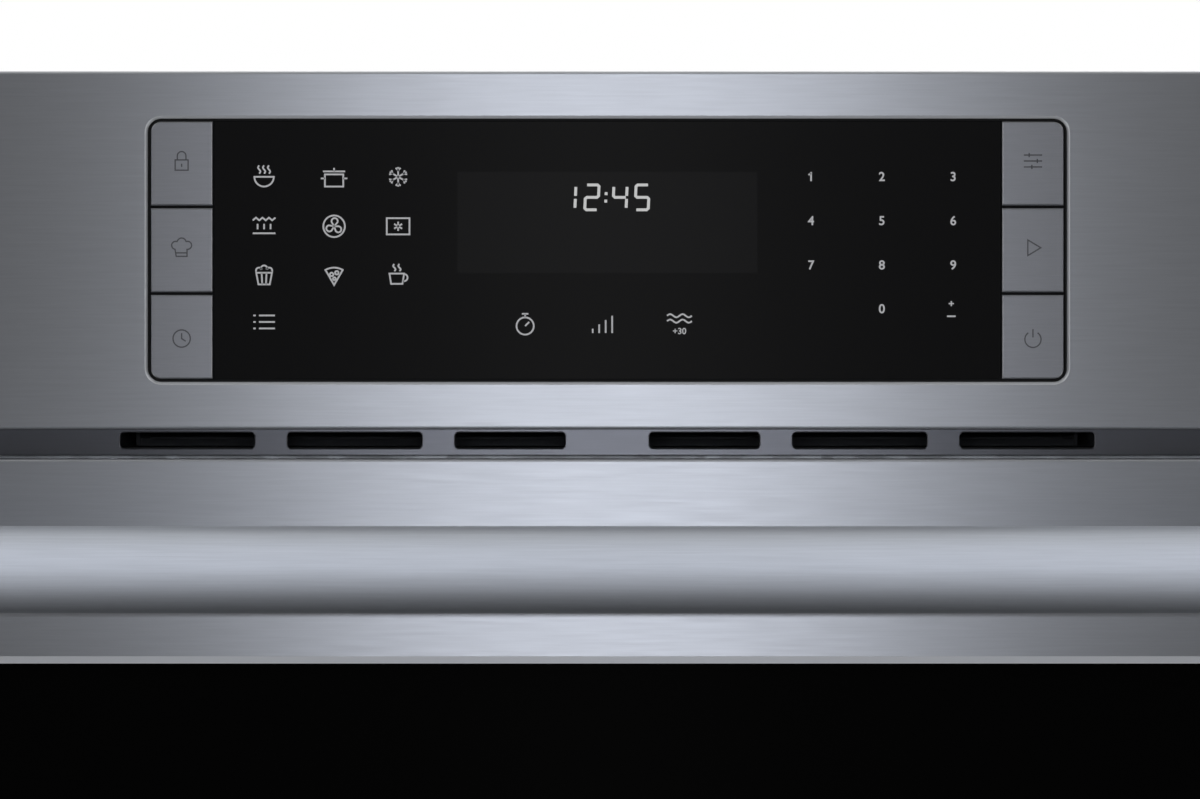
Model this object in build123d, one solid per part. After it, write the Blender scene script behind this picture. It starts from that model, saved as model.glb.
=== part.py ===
from build123d import *
import math
import os

# A built-in speed oven: microwave, convection and broil in one cavity, behind a drop-down door.
# X runs to the right as seen from the front, Y from the front to the back, and Z up. The origin is the
# centre of the footprint, on the surface that the base skids stand on. Most pieces are placed by their
# depth, which is counted from the plane of the door's and fascia's front faces towards the back.

# Overall front and body
front_width = 756.0
front_height = 484.0
body_depth = 545.0
case_setback = 68.0
case_top_drop = 14.0

# Sheet thicknesses and the clearances between pieces
front_sheet = 1.2
frame_sheet = 1.5
case_sheet = 1.0
inner_sheet = 1.2
front_bend = 1.2
slip = 0.3
running = 0.05

# Base plate with two pressed skids
base_sheet = 1.2
skid_height = 6.0
skid_width = 40.0
skid_inset = 80.0

# Control fascia and its opening
fascia_height = 132.5
fascia_lip = 8.5
opening_width = 340.2
opening_height = 97.4
opening_corner = 5.0
opening_bevel = 1.1

# Air outlet strip under the fascia
vent_gap = 11.0
trim_face = 9.2
trim_rise = 6.0
trim_clearance = 1.5
vent_slot_rise = 6.8
vent_slot_height = 6.0
vent_slot_corner = 1.5
vent_slot_bevel = 0.35
vent_outer_slot = 50.0
vent_inner_slot = 41.0
vent_slot_gap = 12.2
vent_centre_gap = 31.2

# Steel keys
key_rim = 1.1
key_width = 23.0
key_gap = 1.1
key_face = 0.1
key_cap = 1.6
key_bevel = 0.5
key_travel = 0.8
key_stem_radius = 3.0

# Touch glass, bezel, display and control board
glass_face = 0.3
glass_side_gap = 0.6
bezel_face = 0.4
bezel_wall = 0.5
bezel_floor = 3.4
bezel_floor_thickness = 2.0
bezel_flange = 8.0
display_width = 111.0
display_height = 37.4
display_rise = 10.3
board_depth = 12.0
board_thickness = 1.6
board_side_margin = 7.0
board_end_margin = 3.4
boss_radius = 4.0
boss_inset_x = 45.0
boss_inset_z = 9.0
switch_height = 3.2
switch_size = 6.0
relay_size = (20.0, 15.0, 15.0)
relay_count = 5
relay_pitch = 42.0
relay_rise = 22.0
chip_size = 26.0
chip_height = 3.0
chip_drop = 12.0
socket_size = (34.0, 10.0, 10.0)
socket_x = 110.0
socket_drop = 30.0

# Door
door_bottom = 8.0
door_thickness = 34.0
door_gap = 2.0
skin_return = 26.0
top_rail = 73.0
bottom_rail = 70.0
side_rail = 88.0
window_bevel = 2.7
window_rim_drop = 0.5
door_glass_depth = 2.7
door_glass_thickness = 4.0
door_glass_border = 14.0
pan_clamp = 4.0
pan_back = 30.0
pan_rise = 16.0
sight_margin_x = 15.0
sight_margin_z = 23.0
screen_thickness = 0.8
screen_border = 10.0
inner_glass_thickness = 3.0
inner_glass_border = 15.0
inner_trim_border = 25.0
inner_trim_lip = 5.0
inner_trim_corner = 8.0
inner_trim_bevel = 1.0
inner_glass_corner = 3.0

# Bar handle
handle_diameter = 31.5
handle_wall = 2.0
handle_gap = 36.0
handle_drop = 39.6
handle_inset = 33.0
handle_end_round = 3.0
post_inset = 38.0
post_width = 24.0
post_height = 22.0
post_round = 5.0
post_screw_radius = 3.0
post_screw_depth = 20.0
post_screw_head_radius = 6.0
post_screw_head_height = 3.5

# Door hinges
hinge_inset = 10.0
hinge_depth = 22.0
hinge_rise = 12.0
hinge_lug_thickness = 6.0
hinge_lug_half_height = 9.0
hinge_lug_length = 98.0
hinge_foot_width = 20.0
hinge_foot_height = 3.0
hinge_pin_radius = 4.0
hinge_pin_head = 1.5
hinge_ear = 3.0
hinge_ear_gap = 0.5
hinge_ear_radius = 8.5
hinge_plate_height = 46.0
hinge_plate_width = 34.0
hinge_swing_gap = 1.0
spring_wire_radius = 0.8
spring_pitch = 2.0
spring_turns = 4
spring_clearance = 0.6

# Latch hooks and the housings that they enter
latch_side_gap = 10.8
latch_drop = 18.5
latch_depth = 20.0
hook_thickness = 4.0
hook_reach = 42.0
hook_half_height = 5.0
hook_blade_base = 1.0
hook_barb = 4.0
hook_nose = 8.0
hook_barb_tip = 5.0
hook_barb_width = 4.0
hook_pin_radius = 2.5
hook_ear = 3.0
hook_ear_gap = 0.4
hook_ear_radius = 6.0
hook_ear_half_height = 4.0
latch_slot_width = 8.0
latch_slot_below = 11.0
latch_slot_above = 14.0
latch_housing_width = 26.0
latch_housing_wall = 4.0
latch_switch_width = 10.0
latch_switch_height = 14.0
latch_switch_length = 24.0
latch_switch_gap = 2.0
blade_pitch = 4.0
blade_size = (4.0, 5.0, 0.8)

# Front frame
frame_top_rail = 40.0
bay_side_rail = 32.0

# Cavity, its flange and its insulation
cavity_floor = 66.0
cavity_side_space = 75.0
cavity_headroom = 38.5
cavity_flange = 12.0
cavity_corner = 3.0
insulation = 12.0

# Turntable
tray_wall_gap = 26.0
tray_rim_slope = 16.0
tray_thickness = 5.0
tray_rim = 11.0
roller_radius = 9.0
roller_width = 6.0
roller_gap = 0.2
roller_bevel = 0.8
roller_orbit = 105.0
roller_axle_radius = 1.8
roller_bore_clearance = 0.1
roller_cap = 1.5
ring_width = 8.0
ring_thickness = 4.0
coupler_radius = 13.0
coupler_shaft_radius = 5.0
coupler_floor_gap = 3.0
coupler_motor_gap = 1.0
coupler_lug_width = 7.6
coupler_lug_length = 19.0
coupler_lug_height = 2.6
coupler_hole_gap = 2.0
turntable_motor_radius = 25.0
turntable_motor_height = 18.0
turntable_shaft_radius = 3.5
turntable_shaft_length = 12.0
turntable_ear_reach = 10.0
turntable_ear_half_width = 7.0
turntable_ear_height = 2.0
turntable_ear_hole = 2.2

# Broil element and its hangers
element_radius = 3.25
element_runs = 6
element_pitch = 60.0
element_drop = 14.0
element_bend = 18.0
element_front_gap = 50.0
element_back_gap = 60.0
element_tail = 12.0
hanger_half_width = 8.0
hanger_wire = 2.0
hanger_half_depth = 3.0

# Convection fan chamber, heater, fan and motor
chamber_lap = 17.0
chamber_depth = 38.0
chamber_flange = 6.0
chamber_shaft_gap = 3.0
baffle_edge = 15.0
baffle_lap = 8.0
baffle_corner = 24.0
baffle_thickness = 1.2
baffle_hole_radius = 4.0
baffle_ring_pitch = 14.0
baffle_centre_rings = 3
baffle_holes_per_ring = 6
baffle_ring_inset = 11.0
baffle_outer_holes = 30
heater_wall_gap = 26.0
heater_open_angle = 12.0
heater_ferrule_radius = 4.2
heater_tail = 14.0
fan_tip_gap = 14.0
fan_setback = 4.0
fan_blade_depth = 20.0
fan_blade_thickness = 1.2
fan_blades = 10
fan_blade_start = 18.0
fan_hub_radius = 10.0
fan_shaft_radius = 4.0
fan_motor_size = 62.0
fan_motor_stack = 22.0
fan_motor_coil = 4.0
fan_motor_standoff = 12.0
fan_motor_post_radius = 3.0
fan_motor_boss_radius = 14.0
rear_clearance = 22.3

# Waveguide, mica cover and magnetron
guide_width = 84.0
guide_thickness = 36.0
guide_wall = 1.2
guide_below_window = 50.0
guide_top_drop = 40.0
guide_window_height = 70.0
guide_window_width = 60.0
guide_window_rise = 16.0
mica_margin = 10.0
mica_thickness = 1.0
mica_corner = 6.0
magnetron_drop = 45.0
magnetron_length = 64.0
magnetron_width = 88.0
magnetron_height = 80.0
magnetron_yoke = 2.0
magnetron_anode_radius = 20.0
magnetron_filter = (34.0, 60.0, 52.0)
magnetron_fins = 8
magnetron_fin = 0.8
magnetron_fin_margin = 10.0
antenna_radius = 7.0
antenna_length = 26.0
antenna_hole_gap = 8.0

# High-voltage transformer and capacitor
transformer_side_gap = 105.0
transformer_rear_gap = 145.0
transformer_width = 100.0
transformer_length = 62.0
transformer_height = 84.0
transformer_foot = 12.0
transformer_foot_height = 2.0
transformer_coil_reach = 14.0
transformer_coil_gap = 2.0
capacitor_spacing = 145.0
capacitor_rear_gap = 115.0
capacitor_length = 96.0
capacitor_width = 50.0
capacitor_height = 34.0
capacitor_post_x = 14.0
capacitor_post_radius = 4.0
capacitor_post_height = 9.0

# Component shelf and cooling blower
shelf_sheet = 1.2
shelf_front = 80.0
shelf_flange = 14.0
blower_depth = 150.0
blower_radius = 42.0
blower_end_margin = 6.8
blower_wall = 1.2
blower_foot_width = 12.0
blower_foot_reach = 26.0
blower_inlet_rise = 6.0
blower_inlet_margin = 12.0
blower_wheel_gap = 4.0
blower_wheel_radius = 32.0
blower_wheel_disc = 1.5
blower_blades = 24
blower_blade_chord = 7.0
blower_blade_thickness = 0.8
blower_blade_angle = 28.0
blower_shaft_radius = 3.0
blower_motor_size = 50.0
blower_motor_length = 30.0
blower_motor_gap = 4.0
blower_motor_boss = 13.0

# Cavity lamp
lamp_setback = 115.5
lamp_drop = 52.0
lamp_size = 44.0
lamp_thickness = 34.0
lamp_wall = 1.2
lamp_hole_radius = 13.0
lamp_cap_radius = 7.0
lamp_cap_length = 11.0
lamp_bulb_radius = 8.5

# Cabinet fixing holes, case screws, louvres and the conduit inlet
mount_hole_radius = 2.75
mount_edge = 26.0
mount_low_rise = 70.0
mount_drop = 40.5
case_screw_radius = 2.0
case_screw_head_radius = 4.0
case_screw_head_height = 2.0
case_screw_length = 9.0
case_screw_low = 110.0
case_screw_drop = 50.0
case_tab = 16.0
louvre_length = 40.0
louvre_height = 4.0
louvre_pitch = 12.0
side_louvre_rows = 5
side_louvre_columns = 2
side_louvre_drop = 90.0
side_louvre_rear_gap = 215.0
top_louvre_rows = 8
top_louvre_columns = 3
top_louvre_rear_gap = 145.0
rear_louvre_rows = 9
rear_louvre_columns = 5
inlet_radius = 11.0
inlet_wall = 2.5
inlet_flange = 5.0
inlet_height = 12.0
inlet_side_gap = 90.0
inlet_rear_gap = 60.0

# Heights worked out from the sizes above
fascia_bottom = front_height - fascia_height
door_top = fascia_bottom - vent_gap
case_top = front_height - case_top_drop
base_top = skid_height + base_sheet
control_z = (front_height + fascia_bottom) / 2
trim_bottom = door_top + trim_clearance
trim_top = fascia_bottom + trim_rise
handle_z = door_top - handle_drop
hinge_z = door_bottom + hinge_rise
latch_z = door_top - latch_drop
window_top = door_top - top_rail
window_bottom = door_bottom + bottom_rail
window_z = (window_top + window_bottom) / 2
cavity_top = door_top - cavity_headroom
cavity_z = (cavity_floor + cavity_top) / 2
shelf_z = cavity_top + inner_sheet + insulation
shelf_top = shelf_z + shelf_sheet
blower_z = shelf_top + blower_radius
element_z = cavity_top - element_drop
guide_top = case_top - guide_top_drop
guide_window_z = cavity_z + guide_window_rise
guide_bottom = guide_window_z - guide_below_window
magnetron_z = guide_top - magnetron_drop
lamp_z = cavity_top - lamp_drop
ring_z = cavity_floor + roller_gap + roller_radius
tray_bottom = cavity_floor + 2 * (roller_radius + roller_gap)
turntable_motor_top = base_top + turntable_motor_height

# Depths behind the front faces
frame_front = door_thickness + door_gap
frame_back = frame_front + frame_sheet
pan_front = door_glass_depth + door_glass_thickness
switch_face = board_depth - switch_height
key_stem_end = switch_face - key_travel - running
rear_inside = body_depth - case_sheet
fan_motor_back = body_depth - rear_clearance
fan_motor_front = fan_motor_back - fan_motor_coil - fan_motor_stack
chamber_back = fan_motor_front - fan_motor_standoff
cavity_outer_back = chamber_back - chamber_depth
cavity_back = cavity_outer_back - inner_sheet
fan_front = cavity_back + fan_setback
fan_back = fan_front + fan_blade_depth
turntable_depth = (frame_back + cavity_back) / 2
guide_depth = turntable_depth
lamp_depth = cavity_back - lamp_setback
transformer_depth = body_depth - transformer_rear_gap
capacitor_depth = body_depth - capacitor_rear_gap

# Half widths, places across the front and sizes that follow from them
front_half = front_width / 2
case_half = front_half - case_setback
panel_half = case_half - case_sheet - slip
frame_half = front_half - front_sheet - slip
cavity_half = case_half - cavity_side_space
cavity_outer_half = cavity_half + inner_sheet
jacket_half = cavity_outer_half + insulation
cavity_width = 2 * cavity_half
cavity_height = cavity_top - cavity_floor
window_width = front_width - 2 * side_rail
window_height = window_top - window_bottom
sight_width = cavity_width - 2 * sight_margin_x
sight_height = cavity_height - 2 * sight_margin_z
tray_radius = min(cavity_width, cavity_back - frame_back) / 2 - tray_wall_gap
handle_radius = handle_diameter / 2
handle_length = front_width - 2 * handle_inset
handle_reach = handle_gap + handle_diameter
handle_depth = -handle_gap - handle_radius
post_x = handle_length / 2 - post_inset
key_height = (opening_height - 2 * key_rim - 2 * key_gap) / 3
key_x = opening_width / 2 - key_rim - key_width / 2
hinge_x = case_half - hinge_inset
latch_x = jacket_half + latch_side_gap + latch_housing_width / 2
mount_x = front_half - mount_edge
mount_heights = (mount_low_rise, door_top - mount_drop)
skid_x = case_half - skid_inset
transformer_x = transformer_side_gap - case_half
capacitor_x = transformer_x + capacitor_spacing
baffle_size = cavity_height - 2 * baffle_edge
fan_hole_radius = baffle_size / 2 - baffle_lap
baffle_outer_ring = fan_hole_radius - baffle_ring_inset
chamber_radius = fan_hole_radius + chamber_lap
heater_ring_radius = chamber_radius - heater_wall_gap
fan_radius = heater_ring_radius - fan_tip_gap

# The front faces' place in Y, so that the origin is at the centre of the footprint
face_y = (handle_reach - body_depth) / 2


def block(x, depth, z):
    """A box given by its low and high values in X, in depth and in Z."""
    size = (x[1] - x[0], depth[1] - depth[0], z[1] - z[0])
    corner = Pos(x[0], face_y + depth[0], z[0])
    return corner * Box(*size, align=(Align.MIN, Align.MIN, Align.MIN))


def around(middle, size):
    """The low and high values of a size centred on a middle."""
    return (middle - size / 2, middle + size / 2)


def on_side(side, near, far):
    """Two X values on the left (-1) or right (1) of the oven, in rising order."""
    return (near, far) if side > 0 else (-far, -near)


def facing(depth):
    """The plane parallel to the front faces at a depth, with its normal towards the front."""
    return Plane(origin=(0, face_y + depth, 0), x_dir=(1, 0, 0), z_dir=(0, -1, 0))


def side_plane(x):
    """The plane across X whose own axes run along the depth and the height."""
    return Plane(origin=(x, face_y, 0), x_dir=(0, 1, 0), z_dir=(1, 0, 0))


def pane(width, height, z, depth, corner=0.0, x=0.0):
    """A plate parallel to the front, centred at x and z, between two depths."""
    outline = RectangleRounded(width, height, corner) if corner else Rectangle(width, height)
    return extrude(facing(depth[1]) * Pos(x, z) * outline, depth[1] - depth[0])


def rod_x(x, depth, z, radius):
    """A cylinder along X, between two X values."""
    start = Pos(x[0], face_y + depth, z) * Rot(0, 90, 0)
    return start * Cylinder(radius, x[1] - x[0], align=(Align.CENTER, Align.CENTER, Align.MIN))


def rod_y(x, depth, z, radius):
    """A cylinder along Y, between two depths."""
    start = Pos(x, face_y + depth[0], z) * Rot(-90, 0, 0)
    return start * Cylinder(radius, depth[1] - depth[0], align=(Align.CENTER, Align.CENTER, Align.MIN))


def rod_z(x, depth, z, radius):
    """A cylinder along Z, between two heights."""
    start = Pos(x, face_y + depth, z[0])
    return start * Cylinder(radius, z[1] - z[0], align=(Align.CENTER, Align.CENTER, Align.MIN))


def folded_front(low, high, back):
    """A front sheet with bent edges, folded back on all four sides."""
    outer = block((-front_half, front_half), (0, back), (low, high))
    outer = fillet(outer.faces().sort_by(Axis.Y)[0].edges(), front_bend)
    inside_half = front_half - front_sheet
    inside_z = (low + front_sheet, high - front_sheet)
    return outer - block((-inside_half, inside_half), (front_sheet, back), inside_z)


def sloped_opening(outline_at, bevel, drop, back):
    """The tool for an opening whose rim slopes in by the bevel over the drop, then runs straight back."""
    rim = loft([facing(0) * outline_at(bevel), facing(drop) * outline_at(0)])
    return rim + extrude(facing(back) * outline_at(0), back)


# Control fascia: brushed sheet folded back round the front frame, with a rounded opening
def control_outline(grow):
    outline = RectangleRounded(opening_width + 2 * grow, opening_height + 2 * grow, opening_corner + grow)
    return Pos(0, control_z) * outline


def make_control_fascia():
    fascia = folded_front(fascia_bottom, front_height, frame_back)
    inside = (-front_half + front_sheet, front_half - front_sheet)
    fascia -= block(inside, (fascia_lip, frame_back), (fascia_bottom, fascia_bottom + front_sheet))
    return fascia - sloped_opening(control_outline, opening_bevel, opening_bevel, front_sheet)


# Control bezel: a black moulded cup behind the opening that holds the glass, the keys and the board
bezel_width = opening_width - 2 * slip
bezel_height = opening_height - 2 * slip
bezel_corner = opening_corner - slip
bezel_back = bezel_floor + bezel_floor_thickness


def key_places():
    """The centre of each steel key, left column then right column, from the top down."""
    pitch = key_height + key_gap
    return [(side * key_x, control_z + row * pitch) for side in (-1, 1) for row in (1, 0, -1)]


def make_control_bezel():
    cup = pane(bezel_width, bezel_height, control_z, (bezel_face, bezel_back), bezel_corner)
    flange_width = bezel_width + 2 * bezel_flange
    flange_height = bezel_height + 2 * bezel_flange
    flange = pane(flange_width, flange_height, control_z, (front_sheet, bezel_back), bezel_corner)
    recess_width = bezel_width - 2 * bezel_wall
    recess_height = bezel_height - 2 * bezel_wall
    recess_corner = bezel_corner - bezel_wall
    bezel = cup + flange
    bezel -= pane(recess_width, recess_height, control_z, (bezel_face, bezel_floor), recess_corner)
    boss_x = key_x - boss_inset_x
    boss_z = bezel_height / 2 - boss_inset_z
    for x in (-boss_x, boss_x):
        for z in (control_z - boss_z, control_z + boss_z):
            bezel += rod_y(x, (bezel_floor, board_depth), z, boss_radius)
    window = (display_width + 2 * slip, display_height + 2 * slip)
    bezel -= pane(*window, control_z + display_rise, (bezel_floor, board_depth))
    for x, z in key_places():
        bezel -= rod_y(x, (0, bezel_back), z, key_stem_radius + slip)
    return bezel


# Touch glass: one flush pane between the two columns of keys
def make_control_glass():
    width = 2 * (key_x - key_width / 2 - glass_side_gap)
    height = opening_height - 2 * key_rim
    return pane(width, height, control_z, (glass_face, bezel_floor))


# Display: the lit module behind the glass, standing on the control board
def make_display_module():
    return pane(display_width, display_height, control_z + display_rise, (bezel_floor, board_depth))


# Steel keys: brushed caps on round stems that reach back to the switches
def make_key(index):
    x, z = key_places()[index]
    row = index % 3
    cap = pane(key_width, key_height, z, (key_face, key_face + key_cap), x=x)
    upright_edges = cap.edges().filter_by(Axis.Y).sort_by(Axis.X)
    outer_pair = (upright_edges[:2] if x < 0 else upright_edges[2:]).sort_by(Axis.Z)
    if row == 0:
        cap = fillet(outer_pair[-1], opening_corner - key_rim)
    if row == 2:
        cap = fillet(outer_pair[0], opening_corner - key_rim)
    cap = chamfer(cap.faces().sort_by(Axis.Y)[0].edges(), key_bevel)
    return cap + rod_y(x, (key_face + key_bevel, key_stem_end), z, key_stem_radius)


# Control board: the circuit board on the bezel's bosses, with key switches, relays, chip and sockets
def make_control_board():
    width = 2 * (key_x + board_side_margin)
    height = opening_height - 2 * board_end_margin
    back = board_depth + board_thickness
    board = pane(width, height, control_z, (board_depth, back))
    for x, z in key_places():
        board += pane(switch_size, switch_size, z, (switch_face, board_depth), x=x)
    for column in range(relay_count):
        x = (column - (relay_count - 1) / 2) * relay_pitch
        depth = (back, back + relay_size[1])
        board += pane(relay_size[0], relay_size[2], control_z + relay_rise, depth, x=x)
    board += pane(chip_size, chip_size, control_z - chip_drop, (back, back + chip_height))
    for x in (-socket_x, socket_x):
        depth = (back, back + socket_size[1])
        board += pane(socket_size[0], socket_size[2], control_z - socket_drop, depth, x=x)
    return board


# Air outlet strip: a folded channel between the fascia and the door, with six slots
def vent_slots():
    """The centre and width of each slot in the strip."""
    inner = vent_centre_gap / 2
    slots = []
    for width in (vent_inner_slot, vent_outer_slot, vent_outer_slot):
        slots += [(side * (inner + width / 2), width) for side in (-1, 1)]
        inner += width + vent_slot_gap
    return slots


def make_vent_trim():
    trim = block((-frame_half, frame_half), (trim_face, frame_front), (trim_bottom, trim_top))
    inside = (trim_bottom + front_sheet, trim_top - front_sheet)
    trim -= block((-frame_half, frame_half), (trim_face + front_sheet, frame_front), inside)
    z = door_top + vent_slot_rise
    for x, width in vent_slots():
        depth = (trim_face, trim_face + front_sheet)
        trim -= pane(width, vent_slot_height, z, depth, vent_slot_corner, x)
    rims = trim.faces().filter_by(Axis.Y).sort_by(Axis.Y)[0].inner_wires()
    return chamfer([edge for rim in rims for edge in rim.edges()], vent_slot_bevel)


# Door skin: brushed sheet folded back on four sides, with a sloped rim drawn in round the window
def window_outline(grow):
    inset = 2 * (window_bevel - grow)
    return Pos(0, window_z) * Rectangle(window_width - inset, window_height - inset)


def make_door_skin():
    skin = folded_front(door_bottom, door_top, skin_return)
    rim_width = window_width + 2 * window_bevel
    rim_height = window_height + 2 * window_bevel
    skin += pane(rim_width, rim_height, window_z, (0, door_glass_depth))
    skin -= sloped_opening(window_outline, window_bevel, window_rim_drop, door_glass_depth)
    for side in (-1, 1):
        # Room in the bottom fold for the fixed hinge lug, which points down into it as the door opens
        lug_space = hinge_lug_thickness + 2 * hinge_ear_gap
        front_of_lug = hinge_depth - hinge_lug_half_height - hinge_swing_gap
        fold = (door_bottom, door_bottom + front_sheet)
        skin -= block(around(side * hinge_x, lug_space), (front_of_lug, skin_return), fold)
        skin -= rod_y(side * post_x, (0, front_sheet), handle_z, post_screw_radius + slip)
    return skin


# Door glass: the black outer pane, clamped between the window's rim and the pan
def make_door_glass():
    width = window_width - 2 * window_bevel + 2 * door_glass_border
    height = window_height - 2 * window_bevel + 2 * door_glass_border
    return pane(width, height, window_z, (door_glass_depth, pan_front))


# Door pan: the folded inner box of the door, with its viewing window, hinge notches and hook ears
hinge_ear_inside = hinge_lug_thickness / 2 + hinge_ear_gap
hinge_ear_outside = hinge_ear_inside + hinge_ear
spring_start = hinge_ear_outside + spring_wire_radius + slip
spring_length = spring_turns * spring_pitch
hinge_pin_end = spring_start + spring_length + spring_wire_radius + slip
hinge_pin_start = hinge_ear_outside + slip


def make_hook_ears(side):
    """The two ears on the pan that carry a latch hook's pin."""
    ears = []
    for ear in (-1, 1):
        middle = side * latch_x + ear * (hook_thickness / 2 + hook_ear_gap + hook_ear / 2)
        span = around(middle, hook_ear)
        plate = block(span, (latch_depth, pan_back - inner_sheet), around(latch_z, 2 * hook_ear_half_height))
        plate += rod_x(span, latch_depth, latch_z, hook_ear_radius)
        ears.append(plate - rod_x(span, latch_depth, latch_z, hook_pin_radius + running))
    return ears


def make_door_pan():
    low = door_bottom + pan_rise
    high = door_top - front_sheet - slip
    pan = block((-frame_half, frame_half), (pan_front, pan_back), (low, high))
    inside_half = frame_half - inner_sheet
    inside_depth = (pan_front + inner_sheet, pan_back - inner_sheet)
    pan -= block((-inside_half, inside_half), inside_depth, (low + inner_sheet, high - inner_sheet))
    clamp_width = window_width + 2 * pan_clamp
    clamp_height = window_height + 2 * pan_clamp
    pan -= pane(clamp_width, clamp_height, window_z, (pan_front, pan_front + inner_sheet))
    pan -= pane(sight_width, sight_height, cavity_z, (pan_back - inner_sheet, pan_back))
    slot_height = 2 * (hook_half_height + hook_barb + hook_blade_base)
    for side in (-1, 1):
        near = hinge_x - hinge_plate_width / 2 - hinge_swing_gap
        far = hinge_x + hinge_pin_end + hinge_pin_head + hinge_swing_gap
        notch_top = door_bottom + hinge_plate_height + hinge_swing_gap
        pan -= block(on_side(side, near, far), (pan_front, pan_back), (low, notch_top))
        slot_depth = (pan_back - inner_sheet, pan_back)
        pan -= pane(latch_slot_width, slot_height, latch_z, slot_depth, x=side * latch_x)
        for ear in make_hook_ears(side):
            pan += ear
    return pan


# Screen: the perforated sheet that keeps the microwaves in, welded behind the pan's window
def make_door_screen():
    back = pan_back - inner_sheet
    width = sight_width + 2 * screen_border
    height = sight_height + 2 * screen_border
    return pane(width, height, cavity_z, (back - screen_thickness, back))


# Inner glass, and the moulded frame that holds it on the pan and covers the choke
inner_glass_width = sight_width + 2 * inner_glass_border
inner_glass_height = sight_height + 2 * inner_glass_border
inner_glass_back = pan_back + inner_glass_thickness


def make_door_inner_glass():
    size = (inner_glass_width, inner_glass_height)
    return pane(*size, cavity_z, (pan_back, inner_glass_back), inner_glass_corner)


def make_door_inner_trim():
    outside = (inner_glass_width + 2 * inner_trim_border, inner_glass_height + 2 * inner_trim_border)
    trim = pane(*outside, cavity_z, (pan_back, door_thickness), inner_trim_corner)
    trim = chamfer(trim.faces().sort_by(Axis.Y)[-1].edges(), inner_trim_bevel)
    pocket = (inner_glass_width + 2 * slip, inner_glass_height + 2 * slip)
    trim -= pane(*pocket, cavity_z, (pan_back, inner_glass_back), inner_glass_corner + slip)
    sight = (inner_glass_width - 2 * inner_trim_lip, inner_glass_height - 2 * inner_trim_lip)
    return trim - pane(*sight, cavity_z, (pan_back, door_thickness), inner_glass_corner)


# Bar handle: a brushed tube with closed ends on two posts, each held by a screw from inside the door
def make_handle_bar():
    half = handle_length / 2
    bar = rod_x((-half, half), handle_depth, handle_z, handle_radius)
    bar = fillet(bar.edges().filter_by(GeomType.CIRCLE), handle_end_round)
    bore_half = half - handle_wall
    return bar - rod_x((-bore_half, bore_half), handle_depth, handle_z, handle_radius - handle_wall)


def make_handle_posts():
    posts = []
    for x in (-post_x, post_x):
        post = block(around(x, post_width), (handle_depth, 0), around(handle_z, post_height))
        post = fillet(post.edges().filter_by(Axis.Y), post_round)
        post -= rod_x((-front_half, front_half), handle_depth, handle_z, handle_radius + running)
        posts.append(post - rod_y(x, (-post_screw_depth, 0), handle_z, post_screw_radius + running))
    return Compound(posts)


def make_door_screws():
    screws = []
    head_depth = (front_sheet, front_sheet + post_screw_head_height)
    for x in (-post_x, post_x):
        head = rod_y(x, head_depth, handle_z, post_screw_head_radius)
        shank = rod_y(x, (slip - post_screw_depth, front_sheet), handle_z, post_screw_radius)
        screws.append(head + shank)
    return Compound(screws)


# Hinges: a fixed lug on each side carries a pin, and the door's bracket turns on it with two ears
def make_hinge_lugs():
    lugs = []
    back = hinge_depth + hinge_lug_length
    heel = (frame_back + slip, back)
    for side in (-1, 1):
        span = around(side * hinge_x, hinge_lug_thickness)
        lug = block(span, (hinge_depth, back), around(hinge_z, 2 * hinge_lug_half_height))
        lug += rod_x(span, hinge_depth, hinge_z, hinge_lug_half_height)
        lug += block(span, heel, (base_top, hinge_z + hinge_lug_half_height))
        foot_edge = hinge_x - hinge_lug_thickness / 2
        foot = on_side(side, foot_edge - hinge_foot_width, foot_edge)
        lug += block(foot, heel, (base_top, base_top + hinge_foot_height))
        lugs.append(lug - rod_x(span, hinge_depth, hinge_z, hinge_pin_radius + running))
    return Compound(lugs)


def make_hinge_pins():
    pins = []
    head_radius = hinge_pin_radius + 2 * spring_wire_radius
    for side in (-1, 1):
        near = hinge_x - hinge_pin_start
        far = hinge_x + hinge_pin_end
        pin = rod_x(on_side(side, near, far), hinge_depth, hinge_z, hinge_pin_radius)
        for head in ((far, far + hinge_pin_head), (near - hinge_pin_head, near)):
            pin += rod_x(on_side(side, *head), hinge_depth, hinge_z, head_radius)
        pins.append(pin)
    return Compound(pins)


def make_door_hinge_brackets():
    brackets = []
    top = door_bottom + hinge_plate_height
    plate_depth = (front_sheet, front_sheet + hinge_ear)
    for side in (-1, 1):
        x = side * hinge_x
        bracket = block(around(x, hinge_plate_width), plate_depth, (door_bottom + front_sheet + slip, top))
        for ear in (-1, 1):
            span = around(x + ear * (hinge_ear_inside + hinge_ear / 2), hinge_ear)
            plate = block(span, (front_sheet, hinge_depth), (hinge_z - hinge_ear_radius, top))
            plate += rod_x(span, hinge_depth, hinge_z, hinge_ear_radius)
            bracket += plate - rod_x(span, hinge_depth, hinge_z, hinge_pin_radius + running)
        brackets.append(bracket)
    return Compound(brackets)


# Hinge springs: a coil on the outer end of each pin, which balances the door
def make_hinge_springs():
    coil_radius = hinge_pin_radius + spring_clearance + spring_wire_radius
    path = Helix(spring_pitch, spring_length, coil_radius)
    coil = sweep(Plane(origin=path @ 0, z_dir=path % 0) * Circle(spring_wire_radius), path=path)
    start = hinge_x + spring_start
    springs = []
    for x in (start, -start - spring_length):
        springs += (Pos(x, face_y + hinge_depth, hinge_z) * Rot(0, 90, 0) * coil).solids()
    return Compound(springs)


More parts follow.
